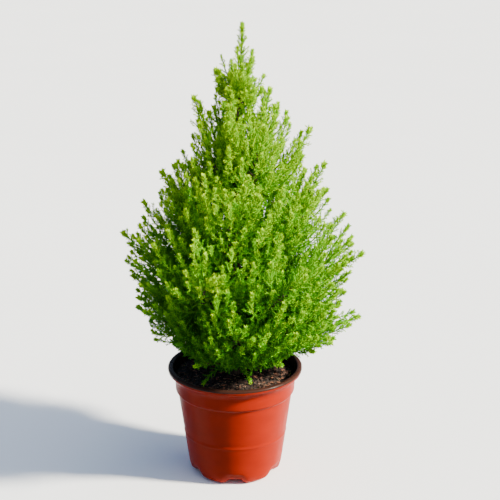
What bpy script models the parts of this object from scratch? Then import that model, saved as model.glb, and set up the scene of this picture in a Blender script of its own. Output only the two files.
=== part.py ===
"""Potted lemon cypress: a thin plastic pot filled with peat, one stem, its boughs, and the foliage as plumes
of needle-bearing shoots. Metres, +Z up, origin at the centre of the pot's flat underside."""

import math
import random

import bmesh
import bpy
from mathutils import Vector

SHARP_ANGLE = math.radians(50.0)

# Pot: a thin moulded pot of the 13 cm size; the shares are of the foot's height
RIM_RADIUS = 0.0650
POT_HEIGHT = 0.1080
WALL = 0.0011
LIP_WIDTH = 0.0046
LIP_DEPTH = 0.0046
COLLAR_RADIUS = 0.0582
COLLAR_FOOT = 0.0845
COLLAR_STEP = 0.0026
WALL_TOP_RADIUS = 0.0553
WALL_FOOT_RADIUS = 0.0455
WALL_FOOT = 0.0085
GROOVE_HEIGHT = 0.0410
GROOVE_DEPTH = 0.0004
BASE_RADIUS = 0.0402
FLAT_RADIUS = 0.0310
ARCHES = 6
ARCH_RISE = 0.0046
ARCH_HALF_ANGLE = math.radians(17.0)
ARCH_SIDE = 1.5
ARCH_FADE = 1.6
FOOT_ROUND = 0.0010
FOOT_ROUND_SHARE = 0.35
INNER_ROUND = 0.0014
INNER_ROUND_SHARE = 0.45
FLOOR_RISE = 0.4
EDGE_ROUND = 0.0005
LIP_ROUND = 0.0014
LIP_FALL = 0.0004
DRAIN_RADIUS = 0.0034
DRAIN_RING = 0.0356
DRAIN_SIDES = 8
POT_SIDES = 36

# Peat
PEAT_GAP = 0.00035
PEAT_EDGE = 0.0985
PEAT_SHOULDER = 0.0020
PEAT_CROWN = 0.1005
PEAT_LUMP = 0.0018
PEAT_TOP = PEAT_CROWN + PEAT_LUMP
PEAT_FLAT = 0.0090
PEAT_WAVES = 4
PEAT_SWIRL = 90.0
PEAT_RINGS = 3

# Trunk
TOUCH_GAP = 0.0003
TRUNK_FOOT = PEAT_CROWN + TOUCH_GAP
TRUNK_TIP = 0.3520
TRUNK_RADIUS = 0.0048
TRUNK_TIP_RADIUS = 0.0017
FLARE_RADIUS = 0.0020
FLARE_HEIGHT = 0.0070
TRUNK_LEAN = Vector((0.0035, 0.0020))
TRUNK_WAVE = 0.0012
TRUNK_STEPS = 12
TRUNK_STEP_POWER = 1.3
TRUNK_SIDES = 7

# Crown: the reach of its shoot tips from the trunk's line, by height
CROWN_LOW = 0.1120
CROWN_TOP = 0.4340
CROWN_REACH = (
    (0.1120, 0.0450),
    (0.1300, 0.0740),
    (0.1550, 0.0970),
    (0.1900, 0.1010),
    (0.2220, 0.1090),
    (0.2550, 0.0970),
    (0.2950, 0.0700),
    (0.3500, 0.0430),
    (0.3950, 0.0215),
    (0.4340, 0.0030),
)
CROWN_LEAN = (0.0020, 0.0075)
LEAN_OF_REACH = 0.6
LEADER_TIP = Vector((0.0075, 0.0020, CROWN_TOP))
LEADER_BOW = Vector((0.0012, -0.0008, 0.0))
LOWEST_FORK = 0.1090
FORK_RISE = 0.0750
FORK_CURVE = 0.2200
TIP_LIFT = math.radians(7.0)
TIP_LEVEL = 0.1400
TIP_LIFTED = 0.1850
TIP_DROOP = -1.3
STEEPEST = math.radians(86.0)

# Shoots that stand proud of the rest: height and bearing of the growth line, and how far along it they reach
LEADING_SHOOTS = (
    (0.1460, math.radians(3.0), 1.30),
    (0.1360, math.radians(-14.0), 1.14),
    (0.2230, math.radians(-8.0), 1.04),
    (0.2990, math.radians(-18.0), 1.14),
    (0.3270, math.radians(2.0), 1.12),
    (0.2370, math.radians(184.0), 1.07),
    (0.2930, math.radians(176.0), 1.05),
    (0.3570, math.radians(188.0), 1.13),
    (0.3915, math.radians(172.0), 1.02),
    (0.2300, math.radians(262.0), 1.05),
    (0.1720, math.radians(285.0), 1.05),
    (0.2380, math.radians(112.0), 1.06),
)

# Tiers of foliage: name, lowest and highest tip, plumes in it, turn of the first, outer shoots in each
TIERS = (
    ("skirt", 0.1120, 0.1580, 6, 0.05, 11),
    ("lower", 0.1580, 0.2050, 6, 0.53, 12),
    ("middle", 0.2050, 0.2620, 6, 0.10, 12),
    ("upper", 0.2620, 0.3120, 5, 0.72, 12),
    ("shoulder", 0.3120, 0.3850, 4, 0.40, 12),
)
LEADER_SHOOTS = 9
BOUGH_SHARE = 0.24
BOUGH_RADIUS = 0.0019
BOUGH_TIP_RADIUS = 0.0014
BOUGH_STEPS = 2
BOUGH_SIDES = 5
FORK_STAGGER = 0.0028

# Shoots: shares are of the stem's or the shoot's length, sizes of the spray's full reach
SPACE_GAP = 0.0005
SHAFT_RADIUS = 0.0011
SPRAY_LENGTH = 0.0380
WHORL_REACH = 0.0062
KNOB_REACH = 0.0040
BLADE_REACH = 0.0058
OUTER_SIZES = (1.0, 0.75, 0.5)
INNER_SIZES = (1.5, 1.0, 0.6)
WHORLED_EVERY = 5
INNER_SHOOTS = 2
OUTER_SHARES = (0.90, 1.00)
INNER_SHARES = (0.56, 0.74)
CORE_RADIUS = 0.0140
CORE_OF_REACH = 0.30
CORE_END = 0.82
CORE_TURN = 0.35
BRANCH_SPREAD = math.radians(34.0)
STEM_STEPS = 4
STEM_TAPER = 0.1
STEM_SIDES = 4
SHOOT_SIDES = 3
STEM_BEND = 0.45
SHOOT_BEND = 0.50
FIRST_FORKS = (0.04, 0.24)
LAST_FORK = 0.72
FORK_LEAD = 0.10
STEM_TRIALS = 40
SHORTEST_SHAFT = 0.30
SPREAD_ROUND = 0.86
SPREAD_UP = 0.92
TIP_JITTER = 0.0020
SET_BACK_POWER = 1.6
OUTER_TURN = 0.31
INNER_TURN = 0.77
GOLDEN = (math.sqrt(5.0) - 1.0) / 2.0
WELD = 5.0e-6
SEED = 14
SEED_STEP = 1000
MOST_ATTEMPTS = 40
TRIES_BEFORE_FEWER = 8


def finish(name, colour, roughness):
    """A Principled material of one colour."""
    material = bpy.data.materials.new(name)
    material.use_nodes = True
    shader = material.node_tree.nodes["Principled BSDF"]
    shader.inputs["Base Color"].default_value = (*colour, 1.0)
    shader.inputs["Roughness"].default_value = roughness
    shader.inputs["Metallic"].default_value = 0.0
    return material


def mesh_object(name, points, faces, material):
    """A new object from points and faces, linked to the scene."""
    mesh = bpy.data.meshes.new(name)
    mesh.from_pydata([tuple(point) for point in points], [], faces)
    mesh.materials.append(material)
    made = bpy.data.objects.new(name, mesh)
    bpy.context.scene.collection.objects.link(made)
    return made


def shade_round(made):
    """Shades a round piece smooth but for its real corners."""
    made.data.shade_smooth()
    made.data.set_sharp_from_angle(angle=SHARP_ANGLE)


def smooth_step(value):
    """0 below 0, 1 above 1, and a smooth rise between."""
    value = min(1.0, max(0.0, value))
    return value * value * (3.0 - 2.0 * value)


# Round bodies


def lathe(profile, sides, lift):
    """Points and faces of a closed turned body. The profile runs from the axis underneath, outwards and
    back to the axis on top; lift(angle, radius, height) raises a point. Each face is split from its narrower
    ring, so that a skin and the body that lies against it bend alike."""
    points = [Vector((0.0, 0.0, profile[0][1]))]
    rings, radii = [], []
    for radius, height in profile[1:-1]:
        radii.append(radius)
        ring = []
        for side in range(sides):
            angle = 2.0 * math.pi * side / sides
            raised = height + lift(angle, radius, height)
            ring.append(len(points))
            points.append(Vector((radius * math.cos(angle), radius * math.sin(angle), raised)))
        rings.append(ring)
    top = len(points)
    points.append(Vector((0.0, 0.0, profile[-1][1])))
    faces = []
    for side in range(sides):
        after = (side + 1) % sides
        faces.append((0, rings[0][after], rings[0][side]))
        faces.append((top, rings[-1][side], rings[-1][after]))
        for index, (low, high) in enumerate(zip(rings, rings[1:])):
            if radii[index] < radii[index + 1]:
                faces.append((low[side], low[after], high[after]))
                faces.append((low[side], high[after], high[side]))
            else:
                faces.append((low[side], low[after], high[side]))
                faces.append((low[after], high[after], high[side]))
    return points, faces


def arch_share(angle):
    """How far a bearing lies into one of the arches under the pot's foot, from 0 to 1."""
    pitch = 2.0 * math.pi / ARCHES
    off = (angle + math.pi / 2.0 + pitch / 2.0) % pitch - pitch / 2.0
    return smooth_step(ARCH_SIDE * (1.0 - abs(off) / ARCH_HALF_ANGLE))


def foot_lift(angle, radius, height):
    """The rise of the pot's skin at an arch: none on the flat middle, all at the foot's corner."""
    across = smooth_step((radius - FLAT_RADIUS) / (BASE_RADIUS - FLAT_RADIUS))
    up = smooth_step(ARCH_FADE - height / WALL_FOOT)
    return ARCH_RISE * across * up * arch_share(angle)


def wall_radius(height):
    """The outer radius of the plain wall under the collar."""
    share = (height - WALL_FOOT) / (COLLAR_FOOT - WALL_FOOT)
    return WALL_FOOT_RADIUS + share * (WALL_TOP_RADIUS - WALL_FOOT_RADIUS)


def inner_profile(gap):
    """The pot's inner skin from its floor up to the mouth, drawn in by a gap."""
    off = WALL + gap
    rounded = INNER_ROUND_SHARE * WALL_FOOT
    return [
        (FLAT_RADIUS, off),
        (BASE_RADIUS - (1.0 - FLOOR_RISE) * off, off),
        (wall_radius(rounded) - off - INNER_ROUND, rounded + FLOOR_RISE * off),
        (wall_radius(WALL_FOOT) - off, WALL_FOOT + FLOOR_RISE * off),
        (wall_radius(COLLAR_FOOT - COLLAR_STEP) - off, COLLAR_FOOT - COLLAR_STEP),
        (COLLAR_RADIUS - off - EDGE_ROUND, COLLAR_FOOT + EDGE_ROUND),
        (COLLAR_RADIUS - off, PEAT_EDGE - PEAT_SHOULDER),
    ]


def make_pot(material):
    """The pot: a thin skin with a rolled lip, a collar, a groove, and arches and drain holes in its foot."""
    lip_root = RIM_RADIUS - LIP_WIDTH
    groove = wall_radius(GROOVE_HEIGHT)
    outside = [
        (0.0, 0.0),
        (FLAT_RADIUS, 0.0),
        (BASE_RADIUS, 0.0),
        (wall_radius(FOOT_ROUND_SHARE * WALL_FOOT) - FOOT_ROUND, FOOT_ROUND_SHARE * WALL_FOOT),
        (wall_radius(WALL_FOOT), WALL_FOOT),
        (groove, GROOVE_HEIGHT),
        (groove + GROOVE_DEPTH, GROOVE_HEIGHT + 2.0 * GROOVE_DEPTH),
        (wall_radius(COLLAR_FOOT - COLLAR_STEP) + GROOVE_DEPTH, COLLAR_FOOT - COLLAR_STEP),
        (COLLAR_RADIUS - EDGE_ROUND, COLLAR_FOOT),
        (COLLAR_RADIUS, POT_HEIGHT - 2.5 * LIP_DEPTH),
    ]
    lip = [
        (lip_root + EDGE_ROUND, POT_HEIGHT - 1.5 * LIP_DEPTH),
        (RIM_RADIUS - EDGE_ROUND, POT_HEIGHT - LIP_DEPTH),
        (RIM_RADIUS, POT_HEIGHT - LIP_ROUND),
        (RIM_RADIUS - LIP_ROUND, POT_HEIGHT),
        (lip_root, POT_HEIGHT - LIP_FALL),
        (lip_root - 2.0 * LIP_FALL, POT_HEIGHT - 0.5 * LIP_DEPTH),
    ]
    inside = list(reversed(inner_profile(0.0)))
    points, faces = lathe(outside + lip + inside + [(0.0, WALL)], POT_SIDES, foot_lift)
    pot = mesh_object("pot", points, faces, material)
    for arch in range(ARCHES):
        angle = 2.0 * math.pi * arch / ARCHES - math.pi / 2.0
        cut_drain(pot, angle)
    shade_round(pot)
    return pot


def cut_drain(pot, angle):
    """Cuts one round drain hole through the pot's floor at a bearing."""
    cutter_mesh = bpy.data.meshes.new("drain_cutter")
    shape = bmesh.new()
    bmesh.ops.create_cone(
        shape,
        cap_ends=True,
        segments=DRAIN_SIDES,
        radius1=DRAIN_RADIUS,
        radius2=DRAIN_RADIUS,
        depth=6.0 * ARCH_RISE,
    )
    shape.to_mesh(cutter_mesh)
    shape.free()
    cutter = bpy.data.objects.new("drain_cutter", cutter_mesh)
    bpy.context.scene.collection.objects.link(cutter)
    cutter.location = (DRAIN_RING * math.cos(angle), DRAIN_RING * math.sin(angle), 0.0)
    cut = pot.modifiers.new("drain", "BOOLEAN")
    cut.operation = "DIFFERENCE"
    cut.object = cutter
    apply_modifiers(pot)
    bpy.data.objects.remove(cutter)


def apply_modifiers(made):
    """Replaces an object's mesh by what its modifiers make of it."""
    bpy.context.view_layer.update()
    graph = bpy.context.evaluated_depsgraph_get()
    mesh = bpy.data.meshes.new_from_object(made.evaluated_get(graph))
    made.modifiers.clear()
    made.data = mesh


def make_peat(material):
    """The peat that fills the pot, lumpy on top, with a small flat for the trunk's foot."""
    lumps = random.Random(SEED)
    turns = [lumps.uniform(0.0, 2.0 * math.pi) for _ in range(PEAT_WAVES)]

    def surface(angle, radius, height):
        if height < PEAT_EDGE - 0.5 * PEAT_SHOULDER:
            return foot_lift(angle, radius, height)
        fade = smooth_step((radius - PEAT_FLAT) / PEAT_FLAT)
        wave = sum(
            math.sin((order + 2) * angle + turn + PEAT_SWIRL * radius * order)
            for order, turn in enumerate(turns)
        )
        return PEAT_LUMP * fade * wave / PEAT_WAVES

    edge_radius = COLLAR_RADIUS - WALL - 2.0 * PEAT_GAP
    top = []
    for ring in range(PEAT_RINGS + 1):
        share = ring / PEAT_RINGS
        radius = edge_radius + share * (PEAT_FLAT - edge_radius)
        top.append((radius, PEAT_EDGE + share * (PEAT_CROWN - PEAT_EDGE)))
    bottom = [(0.0, WALL + PEAT_GAP)] + inner_profile(PEAT_GAP)
    points, faces = lathe(bottom + top + [(0.0, PEAT_CROWN)], POT_SIDES, surface)
    peat = mesh_object("peat", points, faces, material)
    shade_round(peat)
    return peat


# Limbs and shoots


def ringed_body(stations, sides, side_way):
    """Points and faces of one closed body along a path. A station is a centre, a direction, a radius and a
    turn; a radius of 0 ends the body in a point, and any other ends it in a flat face. The sides between
    two rings are split along their shorter diagonals."""
    points, rings = [], []
    for centre, direction, radius, turn in stations:
        if radius == 0.0:
            rings.append([len(points)])
            points.append(centre.copy())
            continue
        across = (side_way - direction * side_way.dot(direction)).normalized()
        upward = direction.cross(across)
        ring = []
        for side in range(sides):
            angle = turn + 2.0 * math.pi * side / sides
            ring.append(len(points))
            points.append(centre + radius * (math.cos(angle) * across + math.sin(angle) * upward))
        rings.append(ring)

    def apart(one, other):
        return (points[one] - points[other]).length

    faces = []
    if len(rings[0]) > 1:
        faces.append(tuple(reversed(rings[0])))
    if len(rings[-1]) > 1:
        faces.append(tuple(rings[-1]))
    for low, high in zip(rings, rings[1:]):
        for side in range(sides):
            after = (side + 1) % sides
            if len(low) == 1:
                faces.append((low[0], high[after], high[side]))
            elif len(high) == 1:
                faces.append((low[side], low[after], high[0]))
            elif apart(low[side], high[after]) < apart(low[after], high[side]):
                faces.append((low[side], low[after], high[after]))
                faces.append((low[side], high[after], high[side]))
            else:
                faces.append((low[side], low[after], high[side]))
                faces.append((low[after], high[after], high[side]))
    return points, faces


def bend(start, middle, end, share):
    """A point and the direction on a curve from start to end that leans towards middle."""
    near = start.lerp(middle, share)
    far = middle.lerp(end, share)
    return near.lerp(far, share), (far - near).normalized()


def trunk_centre(height):
    """The trunk's line: a slight lean and a slow wave."""
    share = (height - TRUNK_FOOT) / (TRUNK_TIP - TRUNK_FOOT)
    wave = TRUNK_WAVE * math.sin(2.0 * math.pi * share)
    return Vector((TRUNK_LEAN.x * share + wave, TRUNK_LEAN.y * share - wave, height))


def trunk_radius(height):
    """The trunk's radius, with the flare at its foot."""
    share = min(1.0, max(0.0, (height - TRUNK_FOOT) / (TRUNK_TIP - TRUNK_FOOT)))
    taper = TRUNK_RADIUS + share * (TRUNK_TIP_RADIUS - TRUNK_RADIUS)
    return taper + FLARE_RADIUS * math.exp(-(height - TRUNK_FOOT) / FLARE_HEIGHT)


def make_trunk(material):
    """The one stem, from its flat cut on the peat to its tip inside the leader."""
    stations = []
    for step in range(TRUNK_STEPS + 1):
        share = (step / TRUNK_STEPS) ** TRUNK_STEP_POWER
        height = TRUNK_FOOT + share * (TRUNK_TIP - TRUNK_FOOT)
        stations.append((trunk_centre(height), Vector((0.0, 0.0, 1.0)), trunk_radius(height), 0.0))
    points, faces = ringed_body(stations, TRUNK_SIDES, Vector((1.0, 0.0, 0.0)))
    trunk = mesh_object("trunk", points, faces, material)
    shade_round(trunk)
    return trunk


# The crown's rule


def crown_reach(height, bearing=math.pi / 2.0):
    """How far the shoot tips stand from the trunk's line at a height and a bearing."""
    reach = CROWN_REACH[-1][1]
    for (low, near), (high, far) in zip(CROWN_REACH, CROWN_REACH[1:]):
        if height < high:
            share = max(0.0, (height - low) / (high - low))
            reach = near + share * (far - near)
            break
    low, high = CROWN_LEAN
    half_up = (height - CROWN_LOW) / (0.5 * (CROWN_TOP - CROWN_LOW))
    lean = low + (high - low) * smooth_step(half_up)
    return reach + min(lean, LEAN_OF_REACH * reach) * math.cos(bearing)


def fork_height(tip_height):
    """Where on the trunk's line the growth that ends at a tip height begins."""
    share = (tip_height - CROWN_LOW) / (CROWN_TOP - CROWN_LOW)
    return LOWEST_FORK + FORK_RISE * share + FORK_CURVE * share**3


def growth_slope(tip_height):
    """The rise of a growth line for each metre outwards."""
    return (tip_height - fork_height(tip_height)) / crown_reach(tip_height)


def growth_way(tip_height, bearing):
    """The direction that a shoot's tip points in."""
    extra = TIP_LIFT * min(1.0, max(TIP_DROOP, (tip_height - TIP_LEVEL) / (TIP_LIFTED - TIP_LEVEL)))
    lift = min(STEEPEST, math.atan(growth_slope(tip_height)) + extra)
    outward = math.cos(lift)
    return Vector((outward * math.cos(bearing), outward * math.sin(bearing), math.sin(lift)))


class Plume:
    """One mass of foliage: the space that it keeps to, its stem, and how far along that the bough reaches."""

    def __init__(self, name, low, high, bearing, half_angle, stagger, shoots, from_bough):
        self.name = name
        self.low, self.high = low, high
        self.bearing, self.half_angle = bearing, half_angle
        self.shoots, self.from_bough = shoots, from_bough
        self.tip_height = 0.5 * (low + high)
        way = Vector((math.cos(bearing), math.sin(bearing), 0.0))
        fork = trunk_centre(fork_height(self.tip_height) + stagger)
        self.start = fork + way * (trunk_radius(fork.z) + TOUCH_GAP)
        self.start_way = way
        self.end = way * crown_reach(self.tip_height, bearing) + Vector((0.0, 0.0, self.tip_height))
        length = (self.end - self.start).length
        self.middle = self.end - growth_way(self.tip_height, bearing) * STEM_BEND * length
        self.side_way = Vector((-math.sin(bearing), math.cos(bearing), 0.0))

    def stem(self, share):
        """A point and direction on the plume's own line, from the trunk to the crown's outside."""
        return bend(self.start, self.middle, self.end, share)

    def holds(self, point, gap=SPACE_GAP):
        """Whether a point is inside this plume's space, a gap clear of its walls."""
        radius = math.hypot(point.x, point.y)
        if self.half_angle < math.pi:
            off = math.atan2(point.y, point.x) - self.bearing
            off = (off + math.pi) % (2.0 * math.pi) - math.pi
            if abs(off) > self.half_angle or radius * math.sin(self.half_angle - abs(off)) < gap:
                return False
        floor = fork_height(self.low) + radius * growth_slope(self.low)
        if self.low > CROWN_LOW and point.z < floor + gap * math.hypot(1.0, growth_slope(self.low)):
            return False
        if self.high < CROWN_TOP:
            roof = fork_height(self.high) + radius * growth_slope(self.high)
            if point.z > roof - gap * math.hypot(1.0, growth_slope(self.high)):
                return False
        height = min(max(point.z, TRUNK_FOOT), TRUNK_TIP)
        near_trunk = (point - trunk_centre(height)).length < trunk_radius(height) + 2.0 * gap
        return not (point.z < TRUNK_TIP and near_trunk) and point.z > PEAT_TOP + gap


def leader():
    """The topmost mass, which grows on from the trunk's tip."""
    top = Plume("foliage_leader", TIERS[-1][2], CROWN_TOP, 0.0, math.pi, 0.0, LEADER_SHOOTS, 0.0)
    top.start = trunk_centre(TRUNK_TIP) + Vector((0.0, 0.0, TOUCH_GAP))
    top.start_way = Vector((0.0, 0.0, 1.0))
    top.end = LEADER_TIP
    top.middle = top.start.lerp(top.end, 0.5) + LEADER_BOW
    return top


def plumes():
    """Every mass of the crown, tier by tier, and the leader. The top tier grows straight from the trunk."""
    found = []
    for tier, low, high, count, turn, shoots in TIERS:
        from_bough = 0.0 if tier == TIERS[-1][0] else BOUGH_SHARE
        for index in range(count):
            name = f"foliage_{tier}_{index + 1}"
            bearing = 2.0 * math.pi * (index + turn) / count
            stagger = FORK_STAGGER * (1.0 if index % 2 else -1.0)
            if index == count - 1:
                stagger *= 1.0 - count % 2
            found.append(Plume(name, low, high, bearing, math.pi / count, stagger, shoots, from_bough))
    return found + [leader()]


def growth_point(height, bearing, share):
    """A point at a share of the growth line that ends on the crown's outside at a height and bearing."""
    reach = share * crown_reach(height, bearing)
    fork = fork_height(height)
    return Vector((reach * math.cos(bearing), reach * math.sin(bearing), fork + share * (height - fork)))


def shoot_tips(plume, outer, dice):
    """Where a plume's shoots end, each with its growth line's height and bearing: the leading shoots, an
    outer set spread evenly over the plume's share of the crown's outside, and an inner set behind them."""
    tips = []
    for height, bearing, share in LEADING_SHOOTS:
        off = (bearing - plume.bearing + math.pi) % (2.0 * math.pi) - math.pi
        if plume.low <= height < plume.high and abs(off) < plume.half_angle:
            tips.append((growth_point(height, bearing, share), height, bearing))
    sets = ((outer, OUTER_TURN, OUTER_SHARES), (INNER_SHOOTS, INNER_TURN, INNER_SHARES))
    for count, turn, (least, most) in sets:
        for index in range(count):
            up = SPREAD_UP * ((index + 0.5) / count - 0.5) * (plume.high - plume.low)
            aside = SPREAD_ROUND * (2.0 * ((index * GOLDEN + turn) % 1.0) - 1.0)
            height = plume.tip_height + up + dice.uniform(-TIP_JITTER, TIP_JITTER)
            bearing = plume.bearing + plume.half_angle * aside
            share = most - (most - least) * dice.random() ** SET_BACK_POWER
            tips.append((growth_point(height, bearing, share), height, bearing))
    return tips


def side_shoots(plume, outer, dice):
    """The line of each shoot that leaves a plume's stem: its start, middle and end."""
    stem_length = (plume.end - plume.start).length
    found = []
    for end, height, bearing in shoot_tips(plume, outer, dice):
        away, nearest = min(
            ((plume.stem(step / STEM_TRIALS)[0] - end).length, step / STEM_TRIALS)
            for step in range(STEM_TRIALS + 1)
        )
        back = away / math.tan(BRANCH_SPREAD) / stem_length
        lowest = plume.from_bough + dice.uniform(*FIRST_FORKS)
        start, _ = plume.stem(min(LAST_FORK, max(lowest, nearest - back - FORK_LEAD)))
        middle = end - growth_way(height, bearing) * SHOOT_BEND * (end - start).length
        found.append((start, middle, end))
    return found


def whorled_spray(line, first, turn, scale):
    """Stations of a shoot's green end from a share of its line on: a shaft, a whorl of needles that stand
    out, a neck, a second whorl turned against the first, and the point."""
    parts = (
        (0.00, 1.2 * SHAFT_RADIUS, 0.0),
        (0.34, WHORL_REACH * scale, 0.0),
        (0.46, 1.1 * SHAFT_RADIUS, 0.0),
        (0.76, KNOB_REACH * scale, math.pi / 3.0),
        (1.00, 0.0, 0.0),
    )
    length = 1.0 - first
    return [(*line(first + length * part), radius, turn + twist) for part, radius, twist in parts]


def bladed_spray(line, first, turn, scale):
    """Stations of a plainer green end: a shaft that widens to a blade and runs out in its point."""
    parts = ((0.00, 1.2 * SHAFT_RADIUS), (0.48, BLADE_REACH * scale), (1.00, 0.0))
    return [(*line(first + (1.0 - first) * part), radius, turn) for part, radius in parts]


def grow_plume(plume, outer, seed):
    """The bodies of one mass: its stem, which ends in a spray, a smaller core, and its side shoots."""
    dice = random.Random(seed)
    first = 1.0 - SPRAY_LENGTH / (plume.end - plume.start).length
    stem = []
    for step in range(STEM_STEPS):
        centre, direction = plume.stem(plume.from_bough + (first - plume.from_bough) * step / STEM_STEPS)
        if step == 0 and plume.from_bough:
            centre = centre + direction * TOUCH_GAP
        elif step == 0:
            direction = plume.start_way
        stem.append((centre, direction, BOUGH_TIP_RADIUS * (1.0 - STEM_TAPER * step), 0.0))
    stem += whorled_spray(plume.stem, first, 0.0, 1.0)
    bodies = [ringed_body(stem, STEM_SIDES, plume.side_way), core(plume)]
    shoots = side_shoots(plume, outer, dice)
    for index, (start, middle, end) in enumerate(shoots):
        turn = dice.uniform(0.0, 2.0 * math.pi)
        first = max(SHORTEST_SHAFT, 1.0 - SPRAY_LENGTH / (end - start).length)
        inner = index >= len(shoots) - INNER_SHOOTS
        spray = whorled_spray if index % WHORLED_EVERY == 0 and not inner else bladed_spray

        def line(share):
            return bend(start, middle, end, share)

        for scale in INNER_SIZES if inner else OUTER_SIZES:
            stations = [(*line(0.0), 0.0, 0.0)] + spray(line, first, turn, scale)
            points, faces = ringed_body(stations, SHOOT_SIDES, plume.side_way)
            if all(plume.holds(point) for point in points):
                bodies.append((points, faces))
                break
    return bodies


def core(plume):
    """The dense inside of a mass: two whorls along the stem, narrow enough to stay in the plume's space."""
    parts = ((0.02, 0.0), (0.34, 1.0), (0.46, 0.5), (0.72, 0.9), (1.00, 0.0))
    stations = []
    for part, share_of_width in parts:
        centre, direction = plume.stem(plume.from_bough + (CORE_END - plume.from_bough) * part)
        width = share_of_width * min(CORE_RADIUS, CORE_OF_REACH * crown_reach(centre.z))
        while width > 0.5 * SHAFT_RADIUS:
            rings = [(centre, direction, width, turn) for turn in (0.0, CORE_TURN)]
            corners, _ = ringed_body(rings, STEM_SIDES, plume.side_way)
            if all(plume.holds(corner, 2.0 * SPACE_GAP) for corner in corners):
                break
            width *= 0.9
        stations.append((centre, direction, width, CORE_TURN))
    return ringed_body(stations, STEM_SIDES, plume.side_way)


def fuse(name, bodies, material):
    """One closed mesh object from bodies that overlap, or None where the union leaves an edge open. The
    solver is MANIFOLD because EXACT leaves open edges among so many crossing shoots."""
    group = bpy.data.collections.new(name + "_parts")
    bpy.context.scene.collection.children.link(group)
    fused = mesh_object(name, *bodies[0], material)
    for points, faces in bodies[1:]:
        piece = mesh_object("piece", points, faces, material)
        bpy.context.scene.collection.objects.unlink(piece)
        group.objects.link(piece)
    union = fused.modifiers.new("union", "BOOLEAN")
    union.operation = "UNION"
    union.operand_type = "COLLECTION"
    union.collection = group
    union.solver = "MANIFOLD"
    apply_modifiers(fused)
    for piece in list(group.objects):
        bpy.data.objects.remove(piece)
    bpy.data.collections.remove(group)
    if tidy_mesh(fused.data):
        return fused
    bpy.data.objects.remove(fused)
    return None


def tidy_mesh(mesh):
    """Welds a fused mesh, drops its loose scraps, and says whether it is closed."""
    shape = bmesh.new()
    shape.from_mesh(mesh)
    bmesh.ops.triangulate(shape, faces=shape.faces)
    bmesh.ops.remove_doubles(shape, verts=shape.verts, dist=WELD)
    unseen = set(shape.verts)
    islands = []
    while unseen:
        island, rim = set(), [unseen.pop()]
        while rim:
            vertex = rim.pop()
            island.add(vertex)
            for link in vertex.link_edges:
                other = link.other_vert(vertex)
                if other in unseen:
                    unseen.discard(other)
                    rim.append(other)
        islands.append(island)
    largest = max(islands, key=len)
    scraps = [vertex for island in islands if island is not largest for vertex in island]
    bmesh.ops.delete(shape, geom=scraps, context="VERTS")
    closed = all(len(edge.link_faces) == 2 for edge in shape.edges)
    shape.to_mesh(mesh)
    shape.free()
    return closed


def make_foliage(plume, seed, material):
    """Grows a plume and fuses it. A union that fails is grown again from the next seed, and after several
    failures with fewer shoots."""
    for attempt in range(MOST_ATTEMPTS):
        outer = plume.shoots - attempt // TRIES_BEFORE_FEWER
        fused = fuse(plume.name, grow_plume(plume, outer, seed + SEED_STEP * attempt), material)
        if fused:
            return fused
    raise RuntimeError(f"{plume.name} doesn't close")


def make_bough(plume, material):
    """The limb from the trunk to where its plume begins."""
    stations = []
    for step in range(BOUGH_STEPS + 1):
        centre, direction = plume.stem(plume.from_bough * step / BOUGH_STEPS)
        if step == 0:
            direction = plume.start_way
        radius = BOUGH_RADIUS + (BOUGH_TIP_RADIUS - BOUGH_RADIUS) * step / BOUGH_STEPS
        stations.append((centre, direction, radius, 0.0))
    points, faces = ringed_body(stations, BOUGH_SIDES, plume.side_way)
    bough = mesh_object(plume.name.replace("foliage", "bough"), points, faces, material)
    shade_round(bough)
    return bough


def main():
    for old in list(bpy.data.objects):
        bpy.data.objects.remove(old)
    terracotta = finish("terracotta_plastic", (0.62, 0.12, 0.05), 0.45)
    soil = finish("peat", (0.045, 0.028, 0.018), 0.95)
    bark = finish("bark", (0.24, 0.16, 0.10), 0.85)
    needles = finish("lime_needles", (0.28, 0.50, 0.05), 0.60)
    make_pot(terracotta)
    make_peat(soil)
    make_trunk(bark)
    for number, plume in enumerate(plumes()):
        if plume.from_bough:
            make_bough(plume, bark)
        make_foliage(plume, SEED + number, needles)


main()
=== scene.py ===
"""Potted lemon cypress: moulded pot, peat, bark and needle-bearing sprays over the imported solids."""

import math
import random

import bpy
import numpy as np
from bpy.props import FloatProperty, FloatVectorProperty, IntProperty, PointerProperty
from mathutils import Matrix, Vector, noise


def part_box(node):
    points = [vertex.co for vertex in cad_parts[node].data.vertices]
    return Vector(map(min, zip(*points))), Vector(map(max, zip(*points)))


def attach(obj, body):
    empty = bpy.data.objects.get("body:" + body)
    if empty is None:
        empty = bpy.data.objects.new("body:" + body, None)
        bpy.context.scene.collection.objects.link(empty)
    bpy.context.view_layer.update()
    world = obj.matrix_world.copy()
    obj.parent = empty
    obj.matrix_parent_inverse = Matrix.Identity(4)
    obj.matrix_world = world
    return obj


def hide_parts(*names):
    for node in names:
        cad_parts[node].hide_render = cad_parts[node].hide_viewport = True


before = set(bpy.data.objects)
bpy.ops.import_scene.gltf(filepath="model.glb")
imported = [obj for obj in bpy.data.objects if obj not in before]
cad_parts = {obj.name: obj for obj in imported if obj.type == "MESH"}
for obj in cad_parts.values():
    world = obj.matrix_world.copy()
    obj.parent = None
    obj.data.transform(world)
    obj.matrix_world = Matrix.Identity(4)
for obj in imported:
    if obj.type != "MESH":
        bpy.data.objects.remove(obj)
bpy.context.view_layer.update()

bl_info = {
    "name": "Potted lemon cypress",
    "version": (1, 0, 0),
    "blender": (4, 5, 0),
    "location": "3D View > Sidebar > Cypress",
    "description": "A lemon cypress in a thin two-tone pot, grown shoot by shoot",
    "category": "Add Mesh",
}

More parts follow.
